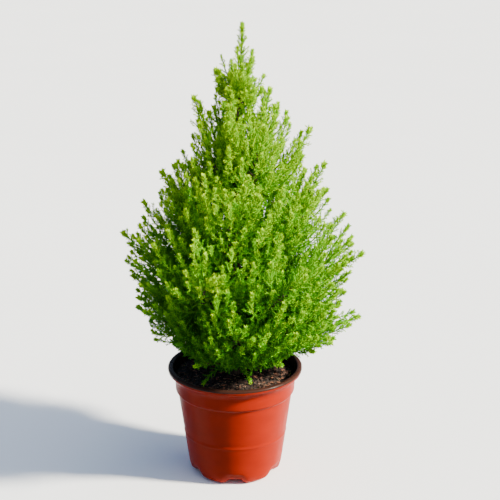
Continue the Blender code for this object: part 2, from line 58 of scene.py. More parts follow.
# Pot, as the solid is turned
WALL = 0.0011
LIP_WIDTH = 0.0046
LIP_DEPTH = 0.0046
DARK_LIP = 0.0026
COLLAR_RADIUS = 0.0582
COLLAR_FOOT = 0.0845
COLLAR_STEP = 0.0026
WALL_TOP_RADIUS = 0.0553
WALL_FOOT_RADIUS = 0.0455
WALL_FOOT = 0.0085
GROOVE_HEIGHT = 0.0410
GROOVE_DEPTH = 0.0004
BASE_RADIUS = 0.0402
FLAT_RADIUS = 0.0310
ARCHES = 6
ARCH_RISE = 0.0046
ARCH_HALF_ANGLE = math.radians(17.0)
ARCH_SIDE = 1.5
ARCH_FADE = 1.6
DRAIN_RADIUS = 0.0034
DRAIN_RING = 0.0356

# Peat
PEAT_GAP = 0.00035
PEAT_EDGE = 0.0985
PEAT_CROWN = 0.1005
PEAT_FLAT = 0.004
PEAT_FADE = 0.012
PEAT_WALL_FADE = 0.0015

# Trunk
TRUNK_FOOT = 0.1008
TRUNK_TIP = 0.3520
TRUNK_RADIUS = 0.0048
TRUNK_TIP_RADIUS = 0.0017
FLARE_RADIUS = 0.0020
FLARE_HEIGHT = 0.0070
TRUNK_LEAN = Vector((0.0035, 0.0020))
TRUNK_WAVE = 0.0012

# Crown: the reach of its shoot tips from the trunk's line, by height
CROWN_LOW = 0.1120
CROWN_TOP = 0.4340
CROWN_REACH = (
    (0.1120, 0.0450),
    (0.1300, 0.0740),
    (0.1550, 0.0970),
    (0.1900, 0.1010),
    (0.2220, 0.1090),
    (0.2550, 0.0970),
    (0.2950, 0.0700),
    (0.3500, 0.0430),
    (0.3950, 0.0215),
    (0.4340, 0.0030),
)
CROWN_LEAN = (0.0020, 0.0075)
LEAN_OF_REACH = 0.6
LEADER_TIP = Vector((0.0075, 0.0020, CROWN_TOP))
LEADER_BOW = Vector((0.0012, -0.0008, 0.0))
LOWEST_FORK = 0.1090
FORK_RISE = 0.0750
FORK_CURVE = 0.2200
TIP_LIFT = math.radians(7.0)
TIP_LEVEL = 0.1400
TIP_LIFTED = 0.1850
TIP_DROOP = -1.3
STEEPEST = math.radians(86.0)

# Shoots that stand proud of the rest: height, bearing in degrees and share of the reach
LEADING_SHOOTS = (
    (0.1460, 3.0, 1.30),
    (0.1360, -14.0, 1.14),
    (0.2230, -8.0, 1.04),
    (0.2990, -18.0, 1.14),
    (0.3270, 2.0, 1.12),
    (0.2370, 184.0, 1.07),
    (0.2930, 176.0, 1.05),
    (0.3570, 188.0, 1.13),
    (0.3915, 172.0, 1.02),
    (0.2300, 262.0, 1.05),
    (0.1720, 285.0, 1.05),
    (0.2380, 112.0, 1.06),
)

# Finer shoots that end the crown's outline between those, told in the same way
FINER_SHOOTS = (
    # Right
    (0.4050, 6.0, 0.65), (0.3960, -12.0, 0.72), (0.3900, 10.0, 0.81), (0.3820, -6.0, 0.93),
    (0.3690, 4.0, 0.90), (0.3520, -3.0, 0.98), (0.3200, -9.0, 1.06), (0.2910, 8.0, 0.86),
    (0.2860, -14.0, 0.92), (0.2580, 2.0, 1.00), (0.2360, 7.0, 0.92), (0.1890, -5.0, 0.96),
    (0.1670, 4.0, 0.98), (0.1460, -5.0, 1.20), (0.1400, 9.0, 1.20), (0.1375, -9.0, 1.14),
    (0.1300, 4.0, 1.18), (0.1220, -6.0, 1.20),
    # Left
    (0.3900, 186.0, 0.94), (0.3760, 170.0, 0.80), (0.3310, 184.0, 0.80), (0.3210, 173.0, 0.82),
    (0.3160, 190.0, 0.92), (0.3070, 178.0, 0.98), (0.2690, 186.0, 0.90), (0.2650, 174.0, 1.03),
    (0.2540, 189.0, 0.98), (0.2000, 180.0, 0.98), (0.1750, 175.0, 0.97),
    # Front
    (0.3780, 274.0, 0.62), (0.3720, 266.0, 0.78), (0.3680, 254.0, 0.82), (0.3660, 281.0, 0.88),
    (0.3600, 262.0, 0.92), (0.3550, 265.0, 0.98), (0.3170, 284.0, 0.92), (0.3080, 275.0, 0.84),
    (0.3100, 293.0, 0.88), (0.2980, 287.0, 0.97), (0.3020, 268.0, 0.90), (0.3050, 278.0, 0.98),
    (0.2600, 248.0, 1.00), (0.2010, 270.0, 1.00), (0.1880, 300.0, 1.02),
    # Back
    (0.3450, 88.0, 1.00), (0.2900, 70.0, 1.00), (0.2050, 95.0, 1.02), (0.1700, 60.0, 1.00),
    (0.1600, 130.0, 1.02),
)

# Shoots close behind each leading one: share of its reach, degrees aside and height above it
COMPANIONS = (
    (0.93, 3.5, 0.0045),
    (0.89, -4.0, 0.0015),
    (0.85, 0.5, -0.0050),
    (0.80, 4.5, -0.0020),
)

# How far out these shoots count as standing at the sides, and how much less at the front
LEADING_OUTNESS = (1.10, 0.12)
FINER_OUTNESS = (1.05, 0.09)

# How much more upright the finer ones end than they grow out
FINER_UPTURN = 0.12

# The palest shoot, at the front: its height, and how far out it counts as standing
PALE_SHOOT = 0.2300
PALE_OUTNESS = 1.35

# How pale a spray's green is by its height, paler high up and darker low down, partly young growth and
# partly painted light above and painted shade below, and how much paler on the sunny right, partly sunlit
# growth and partly painted light, from how far out
YOUTH_AND_PAINTED_LIGHT_BY_HEIGHT = ((0.13, -0.54), (0.20, -0.32), (0.28, 0.02), (0.34, 0.32), (0.40, 0.58))
SUNNY_GROWTH_AND_PAINTED_LIGHT = 0.12
SUNNY_REACH = 0.075

# How much younger it looks on the outside and near its shoot's tip, and how much that varies
OUTER_YOUTH = 0.68
OUTERMOST = 1.4
TIP_YOUTH = 0.60
TIP_YOUTH_LENGTH = 0.024
YOUTH_SPREAD = 0.10

# The least paleness of each green, from the youngest on; the oldest green has none
GREEN_LIMITS = (1.00, 0.80, 0.62, 0.44)

# How much longer the branchlets of the outermost shoots are, and needles by how far out they stand
LEADING_FULLNESS = 0.20
OUTER_NEEDLE = ((0.93, 0.0), (1.06, 1.2), (1.15, 1.2), (1.24, 0.2))

# Where shoots are shortened: the skirt at the left and at the front, and the top at the left
LEFT_TRIM = 0.17
LEFT_TRIM_TOP = 0.1750
FRONT_TRIM = 0.60
GAP_TRIM = 0.48
FRONT_TRIM_TOP = 0.1650
SKIRT_FADE = 0.03
TOP_TRIM = 0.42
TOP_TRIM_FOOT = 0.3300
TOP_FADE = 0.02

# How far the skirt's front shoots are lifted, and how much of their upturn shoots at the sides keep
FRONT_LIFT = 0.0130
LIFT_FADE = 0.04
SIDE_UPTURN = 0.10

# How much of a tier's height and of its own width a plume's shoots fill, and how their heights vary
TIER_FILL = 0.96
PLUME_FILL = 0.94
HEIGHT_SPREAD = 0.002

# The first turns of the outer and the inner shoots, how strongly they tend to reach far out,
# and the shares of the reach of shoots in the gaps between plumes
OUTER_TURN = 0.31
INNER_TURN = 0.77
OUTWARD_BENT = 1.6
GAP_REACH = (0.50, 0.97)

# The tiers whose plumes bear fewer outer shoots, and the share of them
SMALL_TIERS = ("shoulder", "leader")
SMALL_TIER_SHOOTS = 0.8

# The height over which only the leader itself goes on
LEADER_SHOULDER = 0.4130

# How far about the trunk's tip the leader's own short shoots begin; no short shoot of the trunk is shorter
LEADER_FOOT = 0.0130

# Sprigs that hang over the peat: the tip of each, the rise of their arch, and how far out they count
HANGING_SPRIGS = (
    (-0.0290, -0.0425, 0.1060),
    (0.0150, -0.0440, 0.1080),
    (0.0400, -0.0160, 0.1180),
    (-0.0400, -0.0060, 0.1220),
    (-0.0150, 0.0420, 0.1080),
    (0.0300, 0.0360, 0.1160),
)
SPRIG_ARCH = 0.0110
SPRIG_OUTNESS = 0.95

# Tiers of foliage: name, lowest and highest tip, plumes in it, turn of the first
TIERS = (
    ("skirt", 0.1120, 0.1580, 6, 0.05),
    ("lower", 0.1580, 0.2050, 6, 0.53),
    ("middle", 0.2050, 0.2620, 6, 0.10),
    ("upper", 0.2620, 0.3120, 5, 0.72),
    ("shoulder", 0.3120, 0.3850, 4, 0.40),
)

# Boughs, and where stems and shoots fork and how they bend
BOUGH_SHARE = 0.24
BOUGH_RADIUS = 0.0019
BOUGH_TIP_RADIUS = 0.0014
FORK_STAGGER = 0.0028
TOUCH_GAP = 0.0003
STEM_BEND = 0.45
SHOOT_BEND = 0.50
FIRST_FORKS = (0.04, 0.24)
LAST_FORK = 0.72
FORK_LEAD = 0.10
BRANCH_SPREAD = math.radians(34.0)
STEM_TRIALS = 40
GOLDEN = (math.sqrt(5.0) - 1.0) / 2.0
SEED = 14

# Short shoots of the trunk: how their bearings vary, their lift in radians, how their reach varies,
# how far above its foot a shoot's reach is taken, the place of its bow, and how far out it counts
TRUNK_SHOOT_TURN = 0.3
TRUNK_SHOOT_LIFT = (0.55, 1.15)
TRUNK_SHOOT_REACH = (0.7, 1.2)
TRUNK_SHOOT_RISE = 0.03
TRUNK_SHOOT_BOW = (0.62, 0.35)
TRUNK_SHOOT_OUTNESS = 0.3
LEADER_SHOOT_OUTNESS = 0.8

# Branchlets: their angle to the shoot in degrees, how fast they lengthen behind its tip, how that varies
# by chance and by how far up they point, their taper, and the greatest share of a shoot that bears them
BRANCHLET_ANGLES = (38.0, 58.0)
BRANCHLET_SLOPE = 0.30
BRANCHLET_CHANCE = (0.72, 1.18)
BRANCHLET_RISE = (0.86, 0.22)
BRANCHLET_TAPER = 0.6
LEAFY_SHARE = 0.90

# How loosely branchlets and needles keep their places
LOOSENESS = 0.3

# How the outer half of a branchlet bends: by its own way, by its shoot's way, and upwards
OWN_WAY = 0.80
SHOOT_WAY = 0.50
UPWARDS = np.array((0.0, 0.0, 0.16))

# Needles: their angle to the twig in degrees, how much less it is at a tip, and how long a tip is
NEEDLE_ANGLES = (38.0, 60.0)
TIP_CLOSING = 20.0
TIP_LENGTH = 0.0045

# How needles vary in length by chance, along their twig and at its tip, crowd towards the tip and turn
# from pair to pair, and how long a branchlet's bare foot is
NEEDLE_CHANCE = (0.75, 1.15)
NEEDLE_GROWTH = (0.72, 0.36)
TIP_SHORTER = 0.16
NEEDLE_CROWDING = 0.74
PAIR_TURN = 1.45
BARE_FOOT = 0.0008

# Needles that aren't in a shoot's head count as standing less far out; inside the crown they are wider
OFF_HEAD = 0.92
SPARSE_WIDTH = 0.70

# A shoot's own needles: the greatest shares of it and of the leafy length that they cover, how far
# behind its tip their green is taken, and how much sparser they are inside the crown
AXIS_SHARE = 0.7
AXIS_LEAFY = 0.35
AXIS_BACK = 0.003
AXIS_SPARSE = 1.2

# A shoot's head: its greatest share of the shoot, from how far out it lengthens and over what range,
# and how much sparser it is inside the crown
HEAD_SHARE = 0.3
HEAD_FROM = 0.7
HEAD_WHOLE = 0.4
HEAD_SPARSE = 1.5

# A needle's blade is broadest at this share of its length, where its rib stands up by a share of its width
SHOULDER_SHARE = 0.36
RIB_HEIGHT = 0.30

# Twigs: stations and sides of a shoot, sides of a branchlet, and the length of a shoot of full thickness
SHOOT_STATIONS = 8
SHOOT_SIDES = 4
BRANCHLET_SIDES = 3
FULL_SHOOT = 0.09

# Needles stay over the peat, and inside the pot's mouth or over its lip; a piece has at most so many faces
PEAT_CLEAR = 0.0006
LIP_CLEAR = 0.1092
MOUTH_CLEAR = 0.004
MOST_FACES = 190_000

# Lumps on the peat: how near the trunk they begin, how they spread, and how broken and tilted they are
LITTER_START = 0.0085
LITTER_SPREAD = 0.62
LUMP_FACES = 20
LUMP_CORNERS = 12
LUMP_BREAK = 0.38
LUMP_TILT = 0.30

# Fibres on the peat
FIBRE_SIDES = 4
FIBRE_STATIONS = 7
FIBRE_LENGTHS = (0.004, 0.011)
FIBRE_CURL = 0.9
FIBRE_LIFT = 0.0007

# Bark: the relief of its strings and ribs as shares of the radius, and how far it goes under the peat
STRING_RELIEF = 0.16
RIB_RELIEF = 0.05
BARK_SINK = 0.0012

# Facets and stations of the trunk and of a bough, and how a bough swells where it leaves the trunk
TRUNK_SIDES = 28
TRUNK_STATIONS = 220
BOUGH_SIDES = 16
BOUGH_STATIONS = 18
BOUGH_COLLAR = 0.0008
BOUGH_COLLAR_STEPS = 1.5

# Stage: the middle of the plant, and how far off the suns are drawn
PLANT_MIDDLE = Vector((0.0, 0.0, 0.22))
LIGHT_DISTANCE = 2.2

# How far under the pot's foot the floor and the disc on it lie, and the disc's size
FLOOR_DROP = 0.0004
CONTACT_DROP = 0.0003
CONTACT_RADIUS = 0.048
CONTACT_SIDES = 72


# Numbers and meshes


def smooth_step(value):
    """0 below 0, 1 above 1, and a smooth rise between."""
    value = min(1.0, max(0.0, value))
    return value * value * (3.0 - 2.0 * value)


def unit(ways):
    """Rows of an array made one long."""
    return ways / np.maximum(np.linalg.norm(ways, axis=-1, keepdims=True), 1e-12)


def across(ways, like):
    """Unit rows square to ways, as near as can be to like."""
    return unit(like - ways * np.sum(ways * like, axis=-1, keepdims=True))


def any_across(ways):
    """Unit rows square to ways."""
    upright = np.abs(ways[..., 2:3]) > 0.9
    like = np.where(upright, (1.0, 0.0, 0.0), (0.0, 0.0, 1.0))
    return across(ways, like)


def mesh_piece(name, points, faces, materials, tints=None, smooth=False):
    """A new object from arrays of points and of faces with equal corners; tints are the faces' materials."""
    mesh = bpy.data.meshes.new(name)
    corners = faces.shape[1]
    mesh.vertices.add(len(points))
    mesh.vertices.foreach_set("co", np.asarray(points, np.float32).ravel())
    mesh.loops.add(faces.size)
    mesh.loops.foreach_set("vertex_index", np.asarray(faces, np.int32).ravel())
    mesh.polygons.add(len(faces))
    mesh.polygons.foreach_set("loop_start", np.arange(0, faces.size, corners, dtype=np.int32))
    for material in materials:
        mesh.materials.append(material)
    if tints is not None:
        mesh.polygons.foreach_set("material_index", np.asarray(tints, np.int32))
    mesh.polygons.foreach_set("use_smooth", np.full(len(faces), smooth))
    mesh.update(calc_edges=True)
    mesh.validate()
    piece = bpy.data.objects.new(name, mesh)
    bpy.context.scene.collection.objects.link(piece)
    return piece


def seat(piece, nodes):
    """Fixes a piece to the plant's one body, in place of the solids that it stands for."""
    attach(piece, "root")
    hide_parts(*nodes)


def tubes(centres, ways, radii, sides):
    """Points and four-cornered faces of round tubes; centres and ways are (tube, station, 3)."""
    count, stations, _ = centres.shape
    first = any_across(unit(centres[:, -1] - centres[:, 0]))[:, None, :]
    side_way = across(ways, np.broadcast_to(first, ways.shape))
    other_way = np.cross(ways, side_way)
    turn = np.arange(sides) * 2.0 * math.pi / sides
    ring = np.cos(turn)[:, None] * side_way[:, :, None] + np.sin(turn)[:, None] * other_way[:, :, None]
    points = centres[:, :, None] + radii[:, :, None, None] * ring
    index = np.arange(count * stations * sides).reshape(count, stations, sides)
    after = np.roll(index, -1, axis=2)
    low, high = slice(None, -1), slice(1, None)
    faces = np.stack((index[:, low], after[:, low], after[:, high], index[:, high]), axis=-1)
    return points.reshape(-1, 3), faces.reshape(-1, 4)


def curve_points(lines, shares):
    """Points and directions on lines (start, middle, end), at shares (line, station)."""
    start, middle, end = (lines[:, None, corner, :] for corner in range(3))
    share = shares[..., None]
    near = start + (middle - start) * share
    far = middle + (end - middle) * share
    return near + (far - near) * share, unit(far - near)


def curved_tubes(lines, stations, radii, sides):
    """Points and four-cornered faces of round tubes along curved lines, with a ring at each station."""
    centres, ways = curve_points(lines, np.tile(stations, (len(lines), 1)))
    return tubes(centres, ways, radii, sides)


def round_about(ways, turns):
    """Unit rows square to ways, each turned about its way."""
    side = any_across(ways)
    return np.cos(turns)[:, None] * side + np.sin(turns)[:, None] * np.cross(ways, side)


# Materials


def new_material(name, colour, roughness):
    """A Principled material, its node tree and its shader."""
    material = bpy.data.materials.new(name)
    material.use_nodes = True
    tree = material.node_tree
    shader = tree.nodes["Principled BSDF"]
    shader.inputs["Base Color"].default_value = (*colour, 1.0)
    shader.inputs["Roughness"].default_value = roughness
    return material, tree, shader


def noise_node(tree, scale, detail, stretch=(1.0, 1.0, 1.0)):
    """A noise pattern in object space, drawn out along the axes by stretch."""
    place = tree.nodes.new("ShaderNodeTexCoord")
    mapping = tree.nodes.new("ShaderNodeMapping")
    mapping.inputs["Scale"].default_value = stretch
    pattern = tree.nodes.new("ShaderNodeTexNoise")
    pattern.inputs["Scale"].default_value = scale
    pattern.inputs["Detail"].default_value = detail
    tree.links.new(place.outputs["Object"], mapping.inputs["Vector"])
    tree.links.new(mapping.outputs["Vector"], pattern.inputs["Vector"])
    return pattern.outputs["Fac"]


def colour_ramp(tree, value, stops):
    """A ramp of colours or greys driven by a value."""
    ramp = tree.nodes.new("ShaderNodeValToRGB")
    elements = ramp.color_ramp.elements
    while len(elements) < len(stops):
        elements.new(0.5)
    for element, (place, colour) in zip(elements, stops):
        element.position = place
        element.color = (*colour, 1.0) if isinstance(colour, tuple) else (colour, colour, colour, 1.0)
    tree.links.new(value, ramp.inputs["Fac"])
    return ramp.outputs["Color"]


def add_bump(tree, shader, value, strength, distance):
    """Relief from a value."""
    bump = tree.nodes.new("ShaderNodeBump")
    bump.inputs["Strength"].default_value = strength
    bump.inputs["Distance"].default_value = distance
    tree.links.new(value, bump.inputs["Height"])
    tree.links.new(bump.outputs["Normal"], shader.inputs["Normal"])


def shaded(colour, factor):
    """A colour made darker or lighter."""
    return tuple(min(1.0, channel * factor) for channel in colour)


def shades(colour, factors):
    """Darker and lighter shades of one colour."""
    return [shaded(tuple(colour), factor) for factor in factors]


def plastic(name, colour, low, high):
    """Moulded plastic: faint mottling, a fine grain, and a gloss between low and high roughness."""
    material, tree, shader = new_material(name, colour, low)
    shader.inputs["Specular IOR Level"].default_value = 0.06
    cloud = noise_node(tree, 38.0, 3.0, (1.0, 1.0, 2.2))
    tint = colour_ramp(tree, cloud, ((0.30, shaded(colour, 0.90)), (0.72, shaded(colour, 1.08))))
    tree.links.new(tint, shader.inputs["Base Color"])
    streaks = noise_node(tree, 150.0, 4.0, (1.0, 1.0, 0.25))
    gloss = colour_ramp(tree, streaks, ((0.35, low), (0.75, high)))
    tree.links.new(gloss, shader.inputs["Roughness"])
    add_bump(tree, shader, noise_node(tree, 900.0, 2.0), 0.12, 0.0002)
    return material


def mottled(name, colours, scale, roughness, relief, stretch=(1.0, 1.0, 1.0)):
    """A rough natural surface: three colours in patches, and relief."""
    material, tree, shader = new_material(name, colours[1], roughness)
    patches = noise_node(tree, scale, 6.0, stretch)
    tint = colour_ramp(tree, patches, ((0.36, colours[0]), (0.50, colours[1]), (0.66, colours[2])))
    tree.links.new(tint, shader.inputs["Base Color"])
    add_bump(tree, shader, noise_node(tree, 4.0 * scale, 5.0, stretch), 0.6, relief)
    return material


def leaf_material(name, colour):
    """Soft waxy green of one base colour, with a sheen that varies a little."""
    material, tree, shader = new_material(name, colour, 0.5)
    wax = noise_node(tree, 320.0, 2.0)
    tree.links.new(colour_ramp(tree, wax, ((0.3, 0.42), (0.7, 0.60))), shader.inputs["Roughness"])
    shader.inputs["Specular IOR Level"].default_value = 0.04
    return material


# Pot


def arch_share(angle):
    """How far a bearing lies into one of the arches under the pot's foot, from 0 to 1."""
    pitch = 2.0 * math.pi / ARCHES
    off = (angle + math.pi / 2.0 + pitch / 2.0) % pitch - pitch / 2.0
    return smooth_step(ARCH_SIDE * (1.0 - abs(off) / ARCH_HALF_ANGLE))


def foot_lift(angle, radius, height):
    """The rise of the pot's skin at an arch: none on the flat middle, all at the foot's corner."""
    outward = smooth_step((radius - FLAT_RADIUS) / (BASE_RADIUS - FLAT_RADIUS))
    up = smooth_step(ARCH_FADE - height / WALL_FOOT)
    return ARCH_RISE * outward * up * arch_share(angle)


def wall_radius(height):
    """The outer radius of the plain wall under the collar."""
    share = (height - WALL_FOOT) / (COLLAR_FOOT - WALL_FOOT)
    return WALL_FOOT_RADIUS + share * (WALL_TOP_RADIUS - WALL_FOOT_RADIUS)


def rounded(corners, steps=4):
    """A profile whose corners (radius, height, rounding) are drawn as short curves."""
    made = []
    for index, (radius, height, rounding) in enumerate(corners):
        here = Vector((radius, height))
        if rounding <= 0.0 or index in (0, len(corners) - 1):
            made.append(here)
            continue
        before, after = (Vector(corners[index + step][:2]) - here for step in (-1, 1))
        before = here + before.normalized() * min(rounding, 0.45 * before.length)
        after = here + after.normalized() * min(rounding, 0.45 * after.length)
        for step in range(steps + 1):
            share = step / steps
            made.append(before.lerp(here, share).lerp(here.lerp(after, share), share))
    return made


def refined(profile, longest):
    """A profile with points added, so that none of its stretches is longer than a limit."""
    made = [profile[0]]
    for here, after in zip(profile, profile[1:]):
        pieces = max(1, math.ceil((after - here).length / longest))
        made += [here.lerp(after, step / pieces) for step in range(1, pieces + 1)]
    return made


def inner_corners(gap):
    """The pot's inner skin from its floor to the mouth, drawn in by a gap: radius, height and rounding."""
    off = WALL + gap
    rounded_at = 0.45 * WALL_FOOT
    return [
        (FLAT_RADIUS, off, 0.0),
        (BASE_RADIUS - 0.6 * off, off, 0.0010),
        (wall_radius(rounded_at) - off - 0.0014, rounded_at + 0.4 * off, 0.0010),
        (wall_radius(WALL_FOOT) - off, WALL_FOOT + 0.4 * off, 0.0020),
        (wall_radius(COLLAR_FOOT - COLLAR_STEP) - off, COLLAR_FOOT - COLLAR_STEP, 0.0006),
        (COLLAR_RADIUS - off - 0.0005, COLLAR_FOOT + 0.0005, 0.0008),
        (COLLAR_RADIUS - off, PEAT_EDGE - 0.0020, 0.0),
    ]


def turned(profile, sides, lift):
    """Points and faces of a turned skin, closed by small rings at the axis."""
    angles = 2.0 * math.pi * np.arange(sides) / sides
    rings = []
    for corner in profile:
        radius = max(corner.x, 1e-5)
        raised = [corner.y + lift(angle, radius, corner.y) for angle in angles]
        rings.append(np.column_stack((radius * np.cos(angles), radius * np.sin(angles), raised)))
    index = np.arange(len(rings) * sides).reshape(len(rings), sides)
    after = np.roll(index, -1, axis=1)
    faces = np.stack((index[:-1], after[:-1], after[1:], index[1:]), axis=-1).reshape(-1, 4)
    return np.concatenate(rings), faces


def cut_drains(pot):
    """Cuts the drain holes through the foot, one in each arch."""
    for arch in range(ARCHES):
        angle = 2.0 * math.pi * arch / ARCHES - math.pi / 2.0
        place = (DRAIN_RING * math.cos(angle), DRAIN_RING * math.sin(angle), 0.0)
        bpy.ops.mesh.primitive_cylinder_add(vertices=28, radius=DRAIN_RADIUS, depth=0.03, location=place)
        cutter = bpy.context.object
        cut = pot.modifiers.new("drain", "BOOLEAN")
        cut.operation = "DIFFERENCE"
        cut.object = cutter
        bpy.context.view_layer.update()
        graph = bpy.context.evaluated_depsgraph_get()
        mesh = bpy.data.meshes.new_from_object(pot.evaluated_get(graph))
        pot.modifiers.clear()
        pot.data = mesh
        bpy.data.objects.remove(cutter)


def make_pot(settings):
    """The thin moulded pot: terracotta outside, dark lip and lining."""
    rim, height = settings.rim_radius, settings.height
    lip_root = rim - LIP_WIDTH
    groove = wall_radius(GROOVE_HEIGHT)
    # Corners of each skin: radius, height and rounding
    outside = [
        (0.0, 0.0, 0.0),
        (FLAT_RADIUS, 0.0, 0.0),
        (BASE_RADIUS, 0.0, 0.0010),
        (wall_radius(0.35 * WALL_FOOT) - 0.0010, 0.35 * WALL_FOOT, 0.0012),
        (wall_radius(WALL_FOOT), WALL_FOOT, 0.0020),
        (groove, GROOVE_HEIGHT - 0.0020, 0.0008),
        (groove + 0.0006, GROOVE_HEIGHT, 0.0006),
        (groove + GROOVE_DEPTH, GROOVE_HEIGHT + 0.0024, 0.0008),
        (wall_radius(COLLAR_FOOT - COLLAR_STEP) + GROOVE_DEPTH, COLLAR_FOOT - COLLAR_STEP, 0.0005),
        (COLLAR_RADIUS - 0.0005, COLLAR_FOOT, 0.0006),
        (COLLAR_RADIUS, height - 2.5 * LIP_DEPTH, 0.0040),
        (lip_root + 0.0005, height - 1.5 * LIP_DEPTH, 0.0020),
        (rim - 0.0005, height - LIP_DEPTH, 0.0006),
        (rim, height - DARK_LIP, 0.0),
    ]
    lining = [
        (rim, height - DARK_LIP, 0.0),
        (rim, height - 0.0014, 0.0014),
        (rim - 0.0014, height, 0.0010),
        (lip_root, height - 0.0004, 0.0010),
        (lip_root - 0.0008, height - 0.5 * LIP_DEPTH, 0.0012),
    ]
    lining += list(reversed(inner_corners(0.0))) + [(0.0, WALL, 0.0)]
    outer = refined(rounded(outside), 0.0030)
    inner = refined(rounded(lining), 0.0045)
    sides = settings.sides
    points, faces = turned(outer + inner[1:], sides, foot_lift)
    tints = (np.arange(len(faces)) // sides >= len(outer) - 1).astype(np.int32)
    materials = (
        plastic("terracotta_plastic", tuple(settings.outside_colour), 0.34, 0.50),
        plastic("dark_lining_plastic", tuple(settings.lining_colour), 0.24, 0.42),
    )
    pot = mesh_piece("pot_shell", points, faces, materials, tints, smooth=True)
    cut_drains(pot)
    pot.data.shade_smooth()
    pot.data.set_sharp_from_angle(angle=math.radians(40.0))
    seat(pot, ["pot"])


# Peat


def peat_lift(place, settings):
    """The height of the lumps and crumbs of the peat at a place."""
    slow = noise.fractal(place * 70.0, 1.0, 2.0, 3)
    fast = noise.fractal(place * 420.0, 0.8, 2.1, 4)
    return settings.lump * slow + settings.grain * fast


def peat_height(radius, angle, settings):
    """The peat's surface, from the flat round the trunk to the wall."""
    edge = COLLAR_RADIUS - WALL
    place = Vector((radius * math.cos(angle), radius * math.sin(angle), 0.0))
    fade = smooth_step((radius - PEAT_FLAT) / PEAT_FADE)
    fade *= smooth_step((edge - radius) / PEAT_WALL_FADE + 0.3)
    slope = PEAT_CROWN + (PEAT_EDGE - PEAT_CROWN) * smooth_step(radius / edge)
    return slope + fade * peat_lift(place, settings)


def make_peat(settings):
    """The body of peat that fills the pot, with a rough top."""
    sides, rings = settings.sides, settings.rings
    edge = COLLAR_RADIUS - WALL - PEAT_GAP
    bottom = refined(rounded([(0.0, WALL + PEAT_GAP, 0.0)] + inner_corners(PEAT_GAP)), 0.012)
    top = [Vector((edge * (1.0 - ring / rings), PEAT_EDGE)) for ring in range(rings + 1)]

    def lift(angle, radius, height):
        if height < PEAT_EDGE:
            return foot_lift(angle, radius, height)
        return peat_height(radius, angle, settings) - PEAT_EDGE

    points, faces = turned(bottom + top, sides, lift)
    soil = mottled("peat_soil", shades(settings.soil_colour, (0.45, 1.0, 1.9)), 260.0, 0.95, 0.0006)
    seat(mesh_piece("peat_body", points, faces, [soil], smooth=True), ["peat"])


def lump_shape():
    """Points and faces of a twenty-sided lump."""
    long = (1.0 + math.sqrt(5.0)) / 2.0
    points = []
    for a in (-1.0, 1.0):
        for b in (-long, long):
            points += [(0.0, a, b), (a, b, 0.0), (b, 0.0, a)]
    points = unit(np.array(points))
    apart = np.linalg.norm(points[:, None] - points[None], axis=2)
    near = (apart > 0.1) & (apart < 1.2)
    faces = []
    for a in range(LUMP_CORNERS):
        for b in range(a + 1, LUMP_CORNERS):
            for c in range(b + 1, LUMP_CORNERS):
                if near[a, b] and near[b, c] and near[a, c]:
                    normal = np.cross(points[b] - points[a], points[c] - points[a])
                    faces.append((a, b, c) if normal @ points[a] > 0.0 else (a, c, b))
    return points, np.array(faces)


def scatter_lumps(count, sizes, sink, settings, dice):
    """Points and faces of broken lumps strewn over the peat; sizes are the ranges of their half lengths."""
    shape, shape_faces = lump_shape()
    edge = COLLAR_RADIUS - WALL - 0.0012
    radius = LITTER_START + (edge - LITTER_START) * dice.random(count) ** LITTER_SPREAD
    angle = dice.random(count) * 2.0 * math.pi
    height = np.array([peat_height(r, a, settings) for r, a in zip(radius, angle)])
    half = np.column_stack([dice.uniform(low, high, count) for low, high in sizes])
    chipped = 1.0 + LUMP_BREAK * (dice.random((count, LUMP_CORNERS, 1)) - 0.5)
    broken = shape[None] * chipped * half[:, None]
    turn = (dice.random(count) * 2.0 * math.pi)[:, None]
    tilt = dice.normal(0.0, LUMP_TILT, count)[:, None]
    x = broken[..., 0] * np.cos(tilt) + broken[..., 2] * np.sin(tilt)
    y = broken[..., 1]
    z = broken[..., 2] * np.cos(tilt) - broken[..., 0] * np.sin(tilt)
    points = np.stack((
        x * np.cos(turn) - y * np.sin(turn) + (radius * np.cos(angle))[:, None],
        x * np.sin(turn) + y * np.cos(turn) + (radius * np.sin(angle))[:, None],
        z + (height + sink * half[:, 2])[:, None],
    ), axis=-1)
    faces = shape_faces[None] + LUMP_CORNERS * np.arange(count)[:, None, None]
    return points.reshape(-1, 3), faces.reshape(-1, 3)


def toned(name, tones, factors, *finish):
    """Materials of one kind of litter, in tones that each have a colour of their own."""
    return [mottled(f"{name}_{tone}", shades(colour, factors), *finish) for tone, colour in tones]


def strew(name, count, sizes, sink, tones, parts, settings, dice):
    """Strews one kind of lump over the peat, its tones dealt out in parts."""
    points, faces = scatter_lumps(count, sizes, sink, settings, dice)
    tints = np.repeat(dice.choice(len(tones), count, p=parts), LUMP_FACES)
    seat(mesh_piece(name, points, faces, tones, tints), ["peat"])


def fibre_lines(settings, dice):
    """The centres of curled fibres that lie on the peat."""
    count = settings.fibres
    edge = COLLAR_RADIUS - WALL - 0.006
    radius = edge * dice.random(count) ** 0.6
    angle = dice.random(count) * 2.0 * math.pi
    turn = dice.random(count) * 2.0 * math.pi
    length = dice.uniform(*FIBRE_LENGTHS, count)
    curl = dice.normal(0.0, FIBRE_CURL, count)
    shares = np.linspace(0.0, 1.0, FIBRE_STATIONS)
    heading = turn[:, None] + curl[:, None] * shares
    step = (length / FIBRE_STATIONS)[:, None]
    x = (radius * np.cos(angle))[:, None] + np.cumsum(np.cos(heading), axis=1) * step
    y = (radius * np.sin(angle))[:, None] + np.cumsum(np.sin(heading), axis=1) * step
    inside = np.minimum(1.0, (COLLAR_RADIUS - WALL - 0.001) / np.maximum(np.hypot(x, y), 1e-6))
    x, y = x * inside, y * inside
    z = np.array([[peat_height(math.hypot(a, b), math.atan2(b, a), settings) for a, b in zip(*row)]
                  for row in zip(x, y)])
    z = z + FIBRE_LIFT + dice.uniform(0.0, 0.0016, (count, 1)) * np.abs(shares - 0.4)
    return np.stack((x, y, z), axis=-1)


